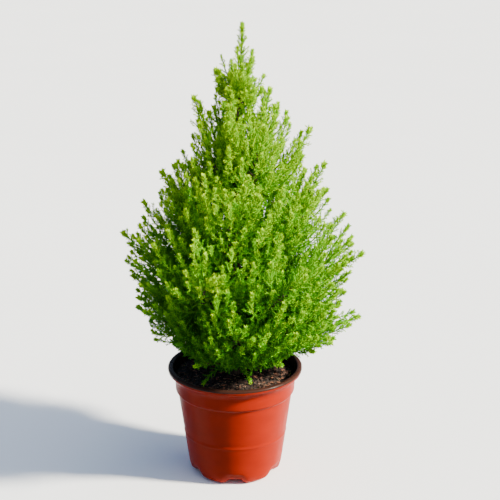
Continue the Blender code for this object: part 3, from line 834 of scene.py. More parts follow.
def make_litter(settings):
    """What lies on the peat: crumbs, chips of bark, fibres and pale specks."""
    dice = np.random.default_rng(SEED + 7)
    soil, chip, fibre = (tuple(colour) for colour in
                         (settings.soil_colour, settings.chip_colour, settings.fibre_colour))
    tones = (("black", shaded(soil, 0.6)), ("brown", shaded(soil, 1.5)), ("rust", shaded(chip, 0.45)))
    strew("peat_crumbs", settings.crumbs, ((0.0006, 0.0019), (0.0005, 0.0014), (0.0004, 0.0011)), 0.25,
          toned("crumb", tones, (0.6, 1.0, 1.5), 500.0, 0.92, 0.0003), (0.52, 0.33, 0.15), settings, dice)
    tones = (("red", chip), ("tan", shaded(chip, 1.7)), ("dark", shaded(chip, 0.4)))
    strew("peat_bark_chips", settings.chips, ((0.0014, 0.0038), (0.0007, 0.0017), (0.0003, 0.0007)), 0.8,
          toned("bark_chip", tones, (0.55, 1.0, 1.5), 380.0, 0.8, 0.0003, (1.0, 3.0, 1.0)),
          (0.5, 0.18, 0.32), settings, dice)

    tones = toned("peat_fibre", (("pale", fibre), ("brown", shaded(fibre, 0.4))), (0.7, 1.0, 1.3),
                  500.0, 0.85, 0.0002)
    centres = fibre_lines(settings, dice)
    count, stations, _ = centres.shape
    radii = np.repeat(dice.uniform(0.00010, 0.00022, (count, 1)), stations, axis=1)
    points, faces = tubes(centres, unit(np.gradient(centres, axis=1)), radii, FIBRE_SIDES)
    tints = np.repeat(dice.choice(len(tones), count, p=(0.6, 0.4)), (stations - 1) * FIBRE_SIDES)
    seat(mesh_piece("peat_fibres", points, faces, tones, tints, smooth=True), ["peat"])

    points, faces = scatter_lumps(
        settings.specks, ((0.0003, 0.0007), (0.0003, 0.0006), (0.0002, 0.0005)), 1.4, settings, dice)
    speck = mottled("pale_speck", shades(fibre, (0.8, 1.1, 1.4)), 500.0, 0.8, 0.0002)
    seat(mesh_piece("peat_specks", points, faces, [speck]), ["peat"])


# The crown's rule


def bend(start, middle, end, share):
    """A point on a curve from start to end that leans towards middle."""
    return start.lerp(middle, share).lerp(middle.lerp(end, share), share)


def trunk_centre(height):
    """The trunk's line: a slight lean and a slow wave."""
    share = (height - TRUNK_FOOT) / (TRUNK_TIP - TRUNK_FOOT)
    wave = TRUNK_WAVE * math.sin(2.0 * math.pi * share)
    return Vector((TRUNK_LEAN.x * share + wave, TRUNK_LEAN.y * share - wave, height))


def trunk_radius(height):
    """The trunk's radius, with the flare at its foot."""
    share = min(1.0, max(0.0, (height - TRUNK_FOOT) / (TRUNK_TIP - TRUNK_FOOT)))
    taper = TRUNK_RADIUS + share * (TRUNK_TIP_RADIUS - TRUNK_RADIUS)
    return taper + FLARE_RADIUS * math.exp(-(height - TRUNK_FOOT) / FLARE_HEIGHT)


def crown_reach(height, bearing=math.pi / 2.0):
    """How far the shoot tips stand from the trunk's line at a height and a bearing."""
    reach = float(np.interp(height, *zip(*CROWN_REACH)))
    low, high = CROWN_LEAN
    half_up = (height - CROWN_LOW) / (0.5 * (CROWN_TOP - CROWN_LOW))
    lean = low + (high - low) * smooth_step(half_up)
    return reach + min(lean, LEAN_OF_REACH * reach) * math.cos(bearing)


def fork_height(tip_height):
    """Where on the trunk's line the growth that ends at a tip height begins."""
    share = (tip_height - CROWN_LOW) / (CROWN_TOP - CROWN_LOW)
    return LOWEST_FORK + FORK_RISE * share + FORK_CURVE * share**3


def growth_way(tip_height, bearing):
    """The direction that a shoot's tip points in."""
    slope = (tip_height - fork_height(tip_height)) / crown_reach(tip_height)
    extra = TIP_LIFT * min(1.0, max(TIP_DROOP, (tip_height - TIP_LEVEL) / (TIP_LIFTED - TIP_LEVEL)))
    lift = min(STEEPEST, math.atan(slope) + extra)
    outward = math.cos(lift)
    return Vector((outward * math.cos(bearing), outward * math.sin(bearing), math.sin(lift)))


def growth_point(height, bearing, share):
    """A point at a share of the growth line that ends on the crown's outside at a height and bearing."""
    reach = share * crown_reach(height, bearing)
    fork = fork_height(height)
    return Vector((reach * math.cos(bearing), reach * math.sin(bearing), fork + share * (height - fork)))


def level_way(bearing):
    """A level direction at a bearing."""
    return Vector((math.cos(bearing), math.sin(bearing), 0.0))


class Plume:
    """One mass of foliage: its tier, its space by height and bearing, and its stem's line."""

    def __init__(self, tier, name, low, high, bearing, half_angle, stagger, from_bough):
        self.tier, self.name = tier, name
        self.low, self.high = low, high
        self.bearing, self.half_angle = bearing, half_angle
        self.from_bough = from_bough
        self.tip_height = 0.5 * (low + high)
        way = level_way(bearing)
        fork = trunk_centre(fork_height(self.tip_height) + stagger)
        self.start = fork + way * (trunk_radius(fork.z) + TOUCH_GAP)
        self.end = way * crown_reach(self.tip_height, bearing) + Vector((0.0, 0.0, self.tip_height))
        length = (self.end - self.start).length
        self.middle = self.end - growth_way(self.tip_height, bearing) * STEM_BEND * length

    def stem(self, share):
        """A point on the plume's own line, from the trunk to the crown's outside."""
        return bend(self.start, self.middle, self.end, share)

    def holds(self, height, bearing):
        """Whether a growth line's height and bearing lie in the plume's space."""
        off = (bearing - self.bearing + math.pi) % (2.0 * math.pi) - math.pi
        return self.low <= height < self.high and abs(off) < self.half_angle


def plumes():
    """Every mass of the crown, tier by tier, and the leader."""
    found = []
    for tier, low, high, count, turn in TIERS:
        from_bough = 0.0 if tier == TIERS[-1][0] else BOUGH_SHARE
        for index in range(count):
            bearing = 2.0 * math.pi * (index + turn) / count
            stagger = FORK_STAGGER * (1.0 if index % 2 else -1.0)
            if index == count - 1:
                stagger *= 1.0 - count % 2
            name = f"foliage_{tier}_{index + 1}"
            found.append(Plume(tier, name, low, high, bearing, math.pi / count, stagger, from_bough))
    top = Plume("leader", "foliage_leader", TIERS[-1][2], CROWN_TOP, 0.0, math.pi, 0.0, 0.0)
    top.start = trunk_centre(TRUNK_TIP) + Vector((0.0, 0.0, TOUCH_GAP))
    top.end = LEADER_TIP
    top.middle = top.start.lerp(top.end, 0.5) + LEADER_BOW
    return found + [top]


def facing(bearing):
    """How much a bearing faces the front, from 0 to 1."""
    return max(0.0, -math.sin(bearing))


def growth_upturn(bearing, settings):
    """How much more upright a shoot at a bearing ends than it grows out."""
    return settings.upturn * (SIDE_UPTURN + (1.0 - SIDE_UPTURN) * math.sin(bearing) ** 2)


def lifted(height, bearing):
    """A tip's height, raised off the pot where it hangs low at the front."""
    return height + FRONT_LIFT * facing(bearing) * smooth_step((FRONT_TRIM_TOP - height) / LIFT_FADE)


def front_trimmed(share, height, bearing, trim):
    """A share of the reach, shortened where a shoot is low at the front."""
    return share * (1.0 - trim * smooth_step((FRONT_TRIM_TOP - height) / SKIRT_FADE) * facing(bearing))


def left_trimmed(share, height, bearing):
    """A share of the reach, shortened where a shoot is low or high at the left."""
    left = max(0.0, -math.cos(bearing))
    share *= 1.0 - LEFT_TRIM * smooth_step((LEFT_TRIM_TOP - height) / SKIRT_FADE) * left
    return share * (1.0 - TOP_TRIM * smooth_step((height - TOP_TRIM_FOOT) / TOP_FADE) * left)


def outline_tips(plume):
    """The tips of the shoots that end the crown's outline, each leading one with its companions."""
    tips = []
    for height, degrees, share in LEADING_SHOOTS:
        bearing = math.radians(degrees)
        if plume.holds(height, bearing):
            side, front = LEADING_OUTNESS
            outness = PALE_OUTNESS if height == PALE_SHOOT else side - front * facing(bearing)
            tips.append((growth_point(height, bearing, share), height, bearing, outness, 0.0))
            for back, aside, up in COMPANIONS:
                near = (height + up, bearing + math.radians(aside))
                tips.append((growth_point(*near, share * back), *near, 1.0, 0.0))
    for height, degrees, share in FINER_SHOOTS:
        bearing = math.radians(degrees)
        if plume.holds(height, bearing):
            side, front = FINER_OUTNESS
            outness = side - front * facing(bearing)
            tips.append((growth_point(height, bearing, share), height, bearing, outness, FINER_UPTURN))
    return tips


def shoot_tips(plume, settings, dice):
    """The tips of a plume's shoots: place, the growth line's height and bearing, how far out, and upturn."""
    tips = outline_tips(plume)
    outer = settings.outer_shoots
    if plume.tier in SMALL_TIERS:
        outer = round(SMALL_TIER_SHOOTS * outer)
    sets = (
        (outer, OUTER_TURN, settings.outer_least, 1.0),
        (settings.inner_shoots, INNER_TURN, settings.inner_least, settings.inner_most),
    )
    for count, turn, least, most in sets:
        for index in range(count):
            up = TIER_FILL * ((index + 0.5) / count - 0.5) * (plume.high - plume.low)
            aside = PLUME_FILL * (2.0 * ((index * GOLDEN + turn) % 1.0) - 1.0)
            height = plume.tip_height + up + dice.uniform(-HEIGHT_SPREAD, HEIGHT_SPREAD)
            bearing = plume.bearing + plume.half_angle * aside
            height = lifted(min(height, LEADER_SHOULDER), bearing)
            share = most - (most - least) * dice.random() ** OUTWARD_BENT
            share = front_trimmed(left_trimmed(share, height, bearing), height, bearing, FRONT_TRIM)
            upturn = growth_upturn(bearing, settings) * (1.0 + facing(bearing))
            tips.append((growth_point(height, bearing, share), height, bearing, share, upturn))
    bearing = plume.bearing + plume.half_angle
    for index in range(settings.gap_shoots):
        height = plume.low + (plume.high - plume.low) * (index + dice.random()) / settings.gap_shoots
        height = lifted(min(height, LEADER_SHOULDER), bearing)
        share = front_trimmed(dice.uniform(*GAP_REACH), height, bearing, GAP_TRIM)
        upturn = growth_upturn(bearing, settings)
        tips.append((growth_point(height, bearing, share), height, bearing, share, upturn))
    return tips


def shoot_lines(plume, settings, dice):
    """The line of each shoot that leaves a plume's stem, and how far out it ends."""
    stem_length = (plume.end - plume.start).length
    lines, shares = [], []
    for end, height, bearing, share, upturn in shoot_tips(plume, settings, dice):
        away, nearest = min(
            ((plume.stem(step / STEM_TRIALS) - end).length, step / STEM_TRIALS)
            for step in range(STEM_TRIALS + 1)
        )
        back = away / math.tan(BRANCH_SPREAD) / stem_length
        lowest = plume.from_bough + dice.uniform(*FIRST_FORKS)
        start = plume.stem(min(LAST_FORK, max(lowest, nearest - back - FORK_LEAD)))
        way = (growth_way(height, bearing) + Vector((0.0, 0.0, upturn))).normalized()
        middle = end - way * SHOOT_BEND * (end - start).length
        lines.append((tuple(start), tuple(middle), tuple(end)))
        shares.append(share)
    return lines, shares


def trunk_lines(tier_plumes, settings, dice):
    """Short shoots from the trunk itself, between the heights that a tier's plumes fork from."""
    low, high = (fork_height(height) for height in (tier_plumes[0].low, tier_plumes[0].high))
    if tier_plumes[0].tier == "shoulder":
        high = TRUNK_TIP
    elif tier_plumes[0].tier == "leader":
        low, high = TRUNK_TIP - LEADER_FOOT, TRUNK_TIP + 2.0 * LEADER_FOOT
    lines = []
    for index in range(settings.trunk_shoots):
        height = low + (high - low) * (index + dice.random()) / settings.trunk_shoots
        bearing = 2.0 * math.pi * index * GOLDEN + dice.uniform(-TRUNK_SHOOT_TURN, TRUNK_SHOOT_TURN)
        lift = dice.uniform(*TRUNK_SHOOT_LIFT)
        way = level_way(bearing)
        start = trunk_centre(height) + way * trunk_radius(height)
        reach = max(LEADER_FOOT, settings.trunk_reach * crown_reach(height + TRUNK_SHOOT_RISE))
        reach *= dice.uniform(*TRUNK_SHOOT_REACH)
        end = start + way * reach + Vector((0.0, 0.0, reach * math.tan(lift)))
        out, up = TRUNK_SHOOT_BOW
        middle = start + way * reach * out + Vector((0.0, 0.0, reach * up))
        lines.append((tuple(start), tuple(middle), tuple(end)))
    return lines


def hanging_lines():
    """The sprigs that arch out of the crown's foot and hang over the peat."""
    lines = []
    for tip in HANGING_SPRIGS:
        end = Vector(tip)
        way = Vector((end.x, end.y, 0.0)).normalized()
        start = trunk_centre(LOWEST_FORK) + way * trunk_radius(LOWEST_FORK)
        middle = start.lerp(end, 0.55) + Vector((0.0, 0.0, SPRIG_ARCH))
        lines.append((tuple(start), tuple(middle), tuple(end)))
    return lines


# Bark


def bark_relief(angle, along, radius):
    """The relief of stringy bark at a place on a limb."""
    place = Vector((math.cos(angle) * radius * 420.0, math.sin(angle) * radius * 420.0, along * 90.0))
    strings = noise.fractal(place, 0.9, 2.1, 4)
    return 1.0 + STRING_RELIEF * strings + RIB_RELIEF * math.sin(5.0 * angle + along * 60.0)


def limb_mesh(centres, radii, sides):
    """Points and faces of one limb with bark relief; centres are Vectors."""
    line = np.array([tuple(centre) for centre in centres])[None]
    ways = unit(np.gradient(line[0], axis=0))[None]
    points, faces = tubes(line, ways, np.array(radii)[None], sides)
    rings = points.reshape(len(centres), sides, 3)
    reliefs = np.array([
        [bark_relief(2.0 * math.pi * side / sides, centre.length, radius) for side in range(sides)]
        for centre, radius in zip(centres, radii)
    ])
    rings = line[0][:, None] + (rings - line[0][:, None]) * reliefs[..., None]
    return rings.reshape(-1, 3), faces


def bark_material(settings):
    """Grey-buff bark in strings over warm brown that is darkened as painted shade."""
    old, young = tuple(settings.bark_and_painted_shade_colour), tuple(settings.bark_pale)
    return mottled("stringy_bark", [shaded(old, 0.5), old, young], 420.0, 0.85, 0.0004, (1.0, 1.0, 0.22))


def make_trunk(settings):
    """The stem with its bark, from the peat to its tip in the leader."""
    foot, rise = TRUNK_FOOT - BARK_SINK, TRUNK_TIP + 0.0008 - TRUNK_FOOT
    heights = [foot + rise * step / TRUNK_STATIONS for step in range(TRUNK_STATIONS + 1)]
    centres = [trunk_centre(height) for height in heights]
    radii = [trunk_radius(max(height, TRUNK_FOOT)) for height in heights]
    points, faces = limb_mesh(centres, radii, TRUNK_SIDES)
    seat(mesh_piece("trunk_bark", points, faces, [bark_material(settings)], smooth=True), ["trunk"])


def make_boughs(settings):
    """The boughs with their bark, each from the trunk to where its foliage begins."""
    all_points, all_faces, nodes = [], [], []
    count = 0
    steps = range(BOUGH_STATIONS + 1)
    spread = BOUGH_RADIUS - BOUGH_TIP_RADIUS
    radii = [
        BOUGH_RADIUS - spread * step / BOUGH_STATIONS + BOUGH_COLLAR * math.exp(-step / BOUGH_COLLAR_STEPS)
        for step in steps
    ]
    for plume in plumes():
        if not plume.from_bough:
            continue
        centres = [plume.stem(plume.from_bough * step / BOUGH_STATIONS) for step in steps]
        points, faces = limb_mesh(centres, radii, BOUGH_SIDES)
        all_points.append(points)
        all_faces.append(faces + count)
        count += len(points)
        nodes.append(plume.name.replace("foliage", "bough"))
    bark = bpy.data.materials.get("stringy_bark") or bark_material(settings)
    points, faces = np.concatenate(all_points), np.concatenate(all_faces)
    seat(mesh_piece("bough_bark", points, faces, [bark], smooth=True), nodes)


# Foliage


class Sprays:
    """The twigs of one tier and their needles: axes of shoots and the branchlets on them."""

    def __init__(self, lines, shares, settings, dice):
        self.settings, self.dice = settings, dice
        self.shoots = np.array(lines)
        self.outness = np.array(shares)
        self.length = self.lengths(self.shoots)
        self.stem_radius = settings.twig_radius * (0.7 + 0.3 * np.minimum(1.0, self.length / FULL_SHOOT))
        self.branch()

    @staticmethod
    def lengths(lines):
        """The length of each curved line, by its chords."""
        start, middle, end = (lines[:, corner] for corner in range(3))
        legs = np.linalg.norm(middle - start, axis=1) + np.linalg.norm(end - middle, axis=1)
        return 0.6 * np.linalg.norm(end - start, axis=1) + 0.4 * legs

    def branch(self):
        """Sets branchlets along each shoot, turned by the golden angle, long behind and short at the tip."""
        settings, dice = self.settings, self.dice
        leafy = np.minimum(LEAFY_SHARE * self.length, settings.leafy_length * (0.6 + 0.4 * self.outness))
        pitch, growth = settings.branchlet_pitch, settings.pitch_growth
        run = np.maximum(leafy - settings.first_branchlet, 0.0)
        nodes = np.maximum(2, (np.sqrt(pitch**2 + 4.0 * growth * run) - pitch) / (2.0 * growth)).astype(int)
        owner = np.repeat(np.arange(len(nodes)), nodes)
        order = np.concatenate([np.arange(count) for count in nodes])
        place = order + dice.uniform(-LOOSENESS, LOOSENESS, len(order))
        back = settings.first_branchlet + pitch * place + growth * place**2
        back = np.minimum(back, 0.95 * self.length[owner])
        share = 1.0 - back / self.length[owner]
        base, way = curve_points(self.shoots[owner], share[:, None])
        base, way = base[:, 0], way[:, 0]
        turn = dice.uniform(0.0, 2.0 * math.pi, len(nodes))[owner] + order * 2.0 * math.pi * GOLDEN
        radial = round_about(way, turn)
        spread = np.radians(dice.uniform(*BRANCHLET_ANGLES, len(order)))[:, None]
        out = np.cos(spread) * way + np.sin(spread) * radial
        reach = np.minimum(settings.branchlet_least + BRANCHLET_SLOPE * back, settings.branchlet_most)
        level, upward = BRANCHLET_RISE
        reach = reach * dice.uniform(*BRANCHLET_CHANCE, len(order)) * (level + upward * radial[:, 2])
        reach = reach * (1.0 + LEADING_FULLNESS * (self.outness[owner] > 1.0))
        home = unit(OWN_WAY * out + SHOOT_WAY * way + UPWARDS)
        middle = base + out * reach[:, None] * 0.5
        self.owner, self.back = owner, back
        self.branchlets = np.stack((base, middle, middle + home * reach[:, None] * 0.55), axis=1)
        self.reach = self.lengths(self.branchlets)

    def needle_rows(self, lines, first, last, pitch, radii, outness):
        """Needles in crossed pairs from first to last distance along each line: base, direction, size."""
        settings, dice = self.settings, self.dice
        length = self.lengths(lines)
        pairs = np.maximum(3, (last - first) / pitch).astype(int)
        owner = np.repeat(np.arange(len(lines)), pairs)
        order = np.concatenate([np.arange(count) for count in pairs])
        done = (order + 0.5) / pairs[owner]
        place = first[owner] + (last - first)[owner] * done ** NEEDLE_CROWDING
        base, way = curve_points(lines[owner], (place / length[owner])[:, None])
        left = np.repeat(length[owner] - place, 2)
        owner, base, way = (np.repeat(array, 2, axis=0) for array in (owner, base[:, 0], way[:, 0]))
        turn = np.repeat(order, 2) * PAIR_TURN + np.tile((0.0, math.pi), len(order))
        radial = round_about(way, turn + dice.uniform(-LOOSENESS, LOOSENESS, len(owner)))
        tip = np.clip(1.0 - left / TIP_LENGTH, 0.0, 1.0)
        spread = np.radians(dice.uniform(*NEEDLE_ANGLES, len(owner)) - TIP_CLOSING * tip)[:, None]
        point = unit(np.cos(spread) * way + np.sin(spread) * radial)
        size = settings.needle_length * dice.uniform(*NEEDLE_CHANCE, len(owner)) * (1.0 - TIP_SHORTER * tip)
        size = size * (1.0 + np.interp(outness[owner], *zip(*OUTER_NEEDLE)))
        foot, growth = NEEDLE_GROWTH
        size = size * (foot + growth * np.repeat(done, 2))
        return owner, base + radial * radii[owner][:, None] * 0.5, point, size, tip

    def needles(self):
        """Bases, directions, sizes, widths and greens of needles on branchlets, shoots and their heads."""
        settings, dice, shoots = self.settings, self.dice, self.shoots
        outer = self.outness[self.owner]
        sparse = 1.0 - np.clip(outer, 0.0, 1.0)
        foot = np.full(len(outer), BARE_FOOT)
        pitch = settings.needle_pitch * (1.0 + sparse)
        radii = np.full(len(outer), settings.branchlet_radius)
        owner, *row, tip = self.needle_rows(
            self.branchlets, foot, self.reach, pitch, radii, OFF_HEAD * outer)
        tint = spray_tint(outer, self.back, self.branchlets[:, 0], dice)
        width = settings.needle_width * (1.0 + 0.25 * tip + SPARSE_WIDTH * sparse[owner])
        rows = [(*row, width, tint[owner])]

        inside = 1.0 - np.clip(self.outness, 0.0, 1.0)
        start = self.length - np.minimum(AXIS_SHARE * self.length, AXIS_LEAFY * settings.leafy_length)
        pitch = settings.axis_pitch * (1.0 + AXIS_SPARSE * inside)
        owner, *row, tip = self.needle_rows(
            shoots, start, self.length, pitch, self.stem_radius, OFF_HEAD * self.outness)
        tint = spray_tint(self.outness, np.full(len(shoots), AXIS_BACK), shoots[:, 2], dice)
        rows.append((*row, settings.needle_width * (1.0 + 0.3 * tip), tint[owner]))

        whole = np.clip((self.outness - HEAD_FROM) / HEAD_WHOLE, 0.0, 1.0)
        head = settings.head_length * (0.5 + 0.5 * whole)
        start = self.length - np.minimum(self.length * HEAD_SHARE, head)
        pitch = settings.head_pitch * (1.0 + HEAD_SPARSE * inside)
        owner, *row, tip = self.needle_rows(
            shoots, start, self.length, pitch, self.stem_radius, self.outness)
        rows.append((*row, settings.needle_width * (1.1 + 0.3 * tip), np.maximum(tint[owner] - 1, 0)))
        return [np.concatenate(arrays) for arrays in zip(*rows)]


def needle_mesh(bases, points, sizes, width, dice):
    """Points and faces of needles, each a slender blade folded along its rib."""
    side = any_across(points)
    other = np.cross(points, side)
    turn = dice.uniform(0.0, 2.0 * math.pi, len(bases))[:, None]
    wide = (np.cos(turn) * side + np.sin(turn) * other) * width[:, None]
    up = (np.cos(turn) * other - np.sin(turn) * side) * width[:, None]
    length = points * sizes[:, None]
    shoulder = bases + SHOULDER_SHARE * length + RIB_HEIGHT * up
    corners = (bases, shoulder + 0.5 * wide, bases + length, shoulder - 0.5 * wide)
    pattern = np.array(((0, 1, 2), (0, 2, 3)))
    faces = pattern[None] + len(corners) * np.arange(len(bases))[:, None, None]
    return np.stack(corners, axis=1).reshape(-1, 3), faces.reshape(-1, 3)


def spray_tint(outness, back, place, dice):
    """Which green a spray has, from its place: 0 is the youngest tip and 4 the oldest inside; greens high up
    and on the sunny right are paler, partly as painted light.
    """
    paleness = OUTER_YOUTH * np.clip(outness, 0.0, OUTERMOST) ** 2
    paleness = paleness + TIP_YOUTH * np.exp(-back / TIP_YOUTH_LENGTH)
    # Paler higher up and darker lower down: partly young growth at the top, partly painted light above and
    # painted shade below
    paleness = paleness + np.interp(place[:, 2], *zip(*YOUTH_AND_PAINTED_LIGHT_BY_HEIGHT))
    # Paler on the sunny right: partly a sunlit side's golden growth, partly painted light
    paleness = paleness + SUNNY_GROWTH_AND_PAINTED_LIGHT * np.clip(place[:, 0] / SUNNY_REACH, -1.0, 1.0)
    paleness = paleness + dice.normal(0.0, YOUTH_SPREAD, len(paleness))
    return np.digitize(-paleness, [-limit for limit in GREEN_LIMITS])


def tier_lines(tier, number, tier_plumes, settings):
    """The lines of a tier's shoots and stems, and how far out each stands."""
    lines, shares, stems = [], [], []
    for index, plume in enumerate(tier_plumes):
        plume_lines, plume_shares = shoot_lines(plume, settings, random.Random(SEED + 100 * number + index))
        lines += plume_lines
        shares += plume_shares
        stems.append((tuple(plume.stem(plume.from_bough)), tuple(plume.middle), tuple(plume.end)))
    own = trunk_lines(tier_plumes, settings, random.Random(SEED + 100 * number + 50))
    lines += own
    shares += [LEADER_SHOOT_OUTNESS if tier == "leader" else TRUNK_SHOOT_OUTNESS] * len(own)
    if tier == "skirt":
        lines += hanging_lines()
        shares += [SPRIG_OUTNESS] * len(HANGING_SPRIGS)
    if tier == "leader":
        stems *= 3
    return lines + stems, shares + [1.0] * len(stems)


def make_foliage(settings):
    """Twigs and needles of every tier, each kind joined."""
    greens = [leaf_material(name, tuple(colour)) for name, colour in (
        ("tip_lime", settings.tip_colour),
        ("young_green", settings.young_colour),
        ("mid_green", settings.mid_colour),
        ("deep_green", settings.deep_colour),
        ("inner_green", settings.inner_colour),
    )]
    # Twig bark in shades of the old bark's colour, which is darkened as painted shade
    twig_shades = shades(settings.bark_and_painted_shade_colour, (0.6, 1.0, 1.5))
    skins = (
        mottled("twig_bark", twig_shades, 500.0, 0.8, 0.0002, (1.0, 1.0, 0.3)),
        leaf_material("green_stem", tuple(settings.stem_colour)),
    )
    for number, tier in enumerate([tier[0] for tier in TIERS] + ["leader"]):
        tier_plumes = [plume for plume in plumes() if plume.tier == tier]
        nodes = [plume.name for plume in tier_plumes]
        lines, shares = tier_lines(tier, number, tier_plumes, settings)
        sprays = Sprays(lines, shares, settings, np.random.default_rng(SEED + 100 * number))
        make_twigs(tier, nodes, sprays, skins)
        make_needles(tier, nodes, sprays, greens)


def make_twigs(tier, nodes, sprays, skins):
    """A tier's shoots, woody where each begins, and its branchlets."""
    stations = np.linspace(0.0, 1.0, SHOOT_STATIONS)
    radii = sprays.stem_radius[:, None] * (1.0 - 0.62 * stations) ** 0.9
    shoot_points, shoot_faces = curved_tubes(sprays.shoots, stations, radii, SHOOT_SIDES)
    kinds = [0] + [1] * (SHOOT_STATIONS - 2)
    shoot_tints = np.tile(np.repeat(kinds, SHOOT_SIDES), len(sprays.shoots))
    radii = sprays.settings.branchlet_radius * np.array((1.0, BRANCHLET_TAPER))
    radii = np.tile(radii, (len(sprays.branchlets), 1))
    points, faces = curved_tubes(sprays.branchlets, np.array((0.0, 1.0)), radii, BRANCHLET_SIDES)
    tints = np.concatenate((shoot_tints, np.ones(len(faces), int)))
    faces = np.concatenate((shoot_faces, faces + len(shoot_points)))
    points = np.concatenate((shoot_points, points))
    seat(mesh_piece(f"twigs_{tier}", points, faces, skins, tints, smooth=True), nodes)


def make_needles(tier, nodes, sprays, greens):
    """A tier's needles, in as many pieces as their number asks for."""
    base, point, size, width, tint = sprays.needles()
    width = width * np.maximum(1.0, size / sprays.settings.needle_length) ** 0.8
    low = np.minimum(base[:, 2], base[:, 2] + point[:, 2] * size)
    radius = np.hypot(base[:, 0], base[:, 1])
    clear = (low > PEAT_CROWN + PEAT_CLEAR) & ((radius < COLLAR_RADIUS - MOUTH_CLEAR) | (low > LIP_CLEAR))
    base, point, size, width, tint = (array[clear] for array in (base, point, size, width, tint))
    pieces = math.ceil(2 * len(base) / MOST_FACES)
    for part, chosen in enumerate(np.array_split(np.arange(len(base)), pieces)):
        points, faces = needle_mesh(base[chosen], point[chosen], size[chosen], width[chosen], sprays.dice)
        name = f"needles_{tier}" if pieces == 1 else f"needles_{tier}_{part + 1}"
        needles = mesh_piece(name, points, faces, greens, np.repeat(tint[chosen], 2))
        seat(needles, nodes)


# Stage


def add_light(name, data, place, colour):
    """A light of a kind at a place, turned to the plant's middle."""
    data.color = colour
    light = bpy.data.objects.new(name, data)
    light.location = place
    light.rotation_euler = (PLANT_MIDDLE - Vector(place)).to_track_quat("-Z", "Y").to_euler()
    bpy.context.scene.collection.objects.link(light)


def add_sun(name, strength, softness, way, colour):
    """A distant light that shines on the plant from a direction."""
    sun = bpy.data.lights.new(name, "SUN")
    sun.energy = strength
    sun.angle = softness
    add_light(name, sun, PLANT_MIDDLE + way * LIGHT_DISTANCE, colour)


def make_floor(settings):
    """The pale floor, and a disc of it under the pot that keeps the hollow of its foot dark."""
    paper = mottled("pale_paper", shades(settings.floor_colour, (0.99, 1.0, 1.01)), 3.0, 0.85, 0.0)
    corners = np.array(((-1.0, -1.0, 0.0), (1.0, -1.0, 0.0), (1.0, 1.0, 0.0), (-1.0, 1.0, 0.0)))
    corners = corners * settings.floor_size - np.array((0.0, 0.0, FLOOR_DROP))
    floor = mesh_piece("floor", corners, np.array(((0, 1, 2, 3),)), [paper])
    floor.visible_diffuse = False
    turn = np.arange(CONTACT_SIDES) * 2.0 * math.pi / CONTACT_SIDES
    ring = np.column_stack((CONTACT_RADIUS * np.cos(turn), CONTACT_RADIUS * np.sin(turn),
                            np.full(CONTACT_SIDES, -CONTACT_DROP)))
    contact = mesh_piece("contact_floor", ring, np.arange(CONTACT_SIDES)[None, :], [paper])


def make_room(settings):
    """Soft light from all round, bluer from overhead."""
    world = bpy.data.worlds.new("soft_room")
    world.use_nodes = True
    tree = world.node_tree
    place = tree.nodes.new("ShaderNodeTexCoord")
    split = tree.nodes.new("ShaderNodeSeparateXYZ")
    level = tree.nodes.new("ShaderNodeMapRange")
    level.inputs["From Min"].default_value = -1.0
    tree.links.new(place.outputs["Generated"], split.inputs["Vector"])
    tree.links.new(split.outputs["Z"], level.inputs["Value"])
    stops = ((0.46, settings.room_low), (0.56, settings.room_side), (1.0, settings.room_high))
    room = colour_ramp(tree, level.outputs["Result"], [(height, tuple(colour)) for height, colour in stops])
    tree.links.new(room, tree.nodes["Background"].inputs["Color"])
    bpy.context.scene.world = world


def make_stage(settings):
    """The pale floor, the lights and the camera."""
    make_floor(settings)
    bearing, lift = settings.key_bearing, settings.key_lift
    way = Vector((math.cos(bearing) * math.cos(lift), -math.sin(bearing) * math.cos(lift), math.sin(lift)))
    add_sun("key", settings.key_strength, settings.key_softness, way, (1.0, 0.935, 0.78))
    way = (way + Vector((0.0, 0.0, settings.wide_rise))).normalized()
    add_sun("wide_key", settings.wide_strength, settings.wide_softness, way, (1.0, 0.95, 0.80))
    fill = bpy.data.lights.new("front_fill", "AREA")
    fill.shape = "SQUARE"
    fill.size = 2.0
    fill.energy = settings.fill_power
    add_light("front_fill", fill, (-0.6, -2.4, 1.5), (0.90, 0.95, 1.0))
    make_room(settings)

    data = bpy.data.cameras.new("camera")
    data.sensor_width = 36.0
    data.lens = settings.lens
    camera = bpy.data.objects.new("camera", data)
    camera.location = settings.camera_place
    camera.rotation_euler = (math.pi / 2.0 - settings.camera_drop, 0.0, 0.0)
    bpy.context.scene.collection.objects.link(camera)
    bpy.context.scene.camera = camera


# Add-on


def length_property(name, description, default):
    """A length in metres."""
    return FloatProperty(name=name, description=description, default=default, min=0.0, precision=4,
                         subtype="DISTANCE", unit="LENGTH")


def colour_property(name, description, default):
    """A linear colour."""
    return FloatVectorProperty(name=name, description=description, default=default, min=0.0, max=1.0,
                               size=3, subtype="COLOR")


def count_property(name, description, default, least=0):
    """A number of like things."""
    return IntProperty(name=name, description=description, default=default, min=least)


def number_property(name, description, default):
    """A plain number, not less than 0."""
    return FloatProperty(name=name, description=description, default=default, min=0.0)


def share_property(name, description, default):
    """A share from 0 to 1."""
    return FloatProperty(name=name, description=description, default=default, min=0.0, max=1.0,
                         subtype="FACTOR")


def angle_property(name, description, degrees):
    """An angle, with its default in degrees."""
    return FloatProperty(name=name, description=description, default=math.radians(degrees), subtype="ANGLE")


class PotSettings(bpy.types.PropertyGroup):
    rim_radius: length_property("Rim radius", "Outer radius of the lip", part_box("pot")[1].x)
    height: length_property("Height", "Height of the pot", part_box("pot")[1].z)
    sides: count_property("Sides", "Facets round the pot", 168, 24)
    outside_colour: colour_property("Outside", "Colour of the outside", (0.325, 0.0145, 0.0020))
    lining_colour: colour_property("Lining", "Colour of the lip and the inside", (0.036, 0.0138, 0.0092))


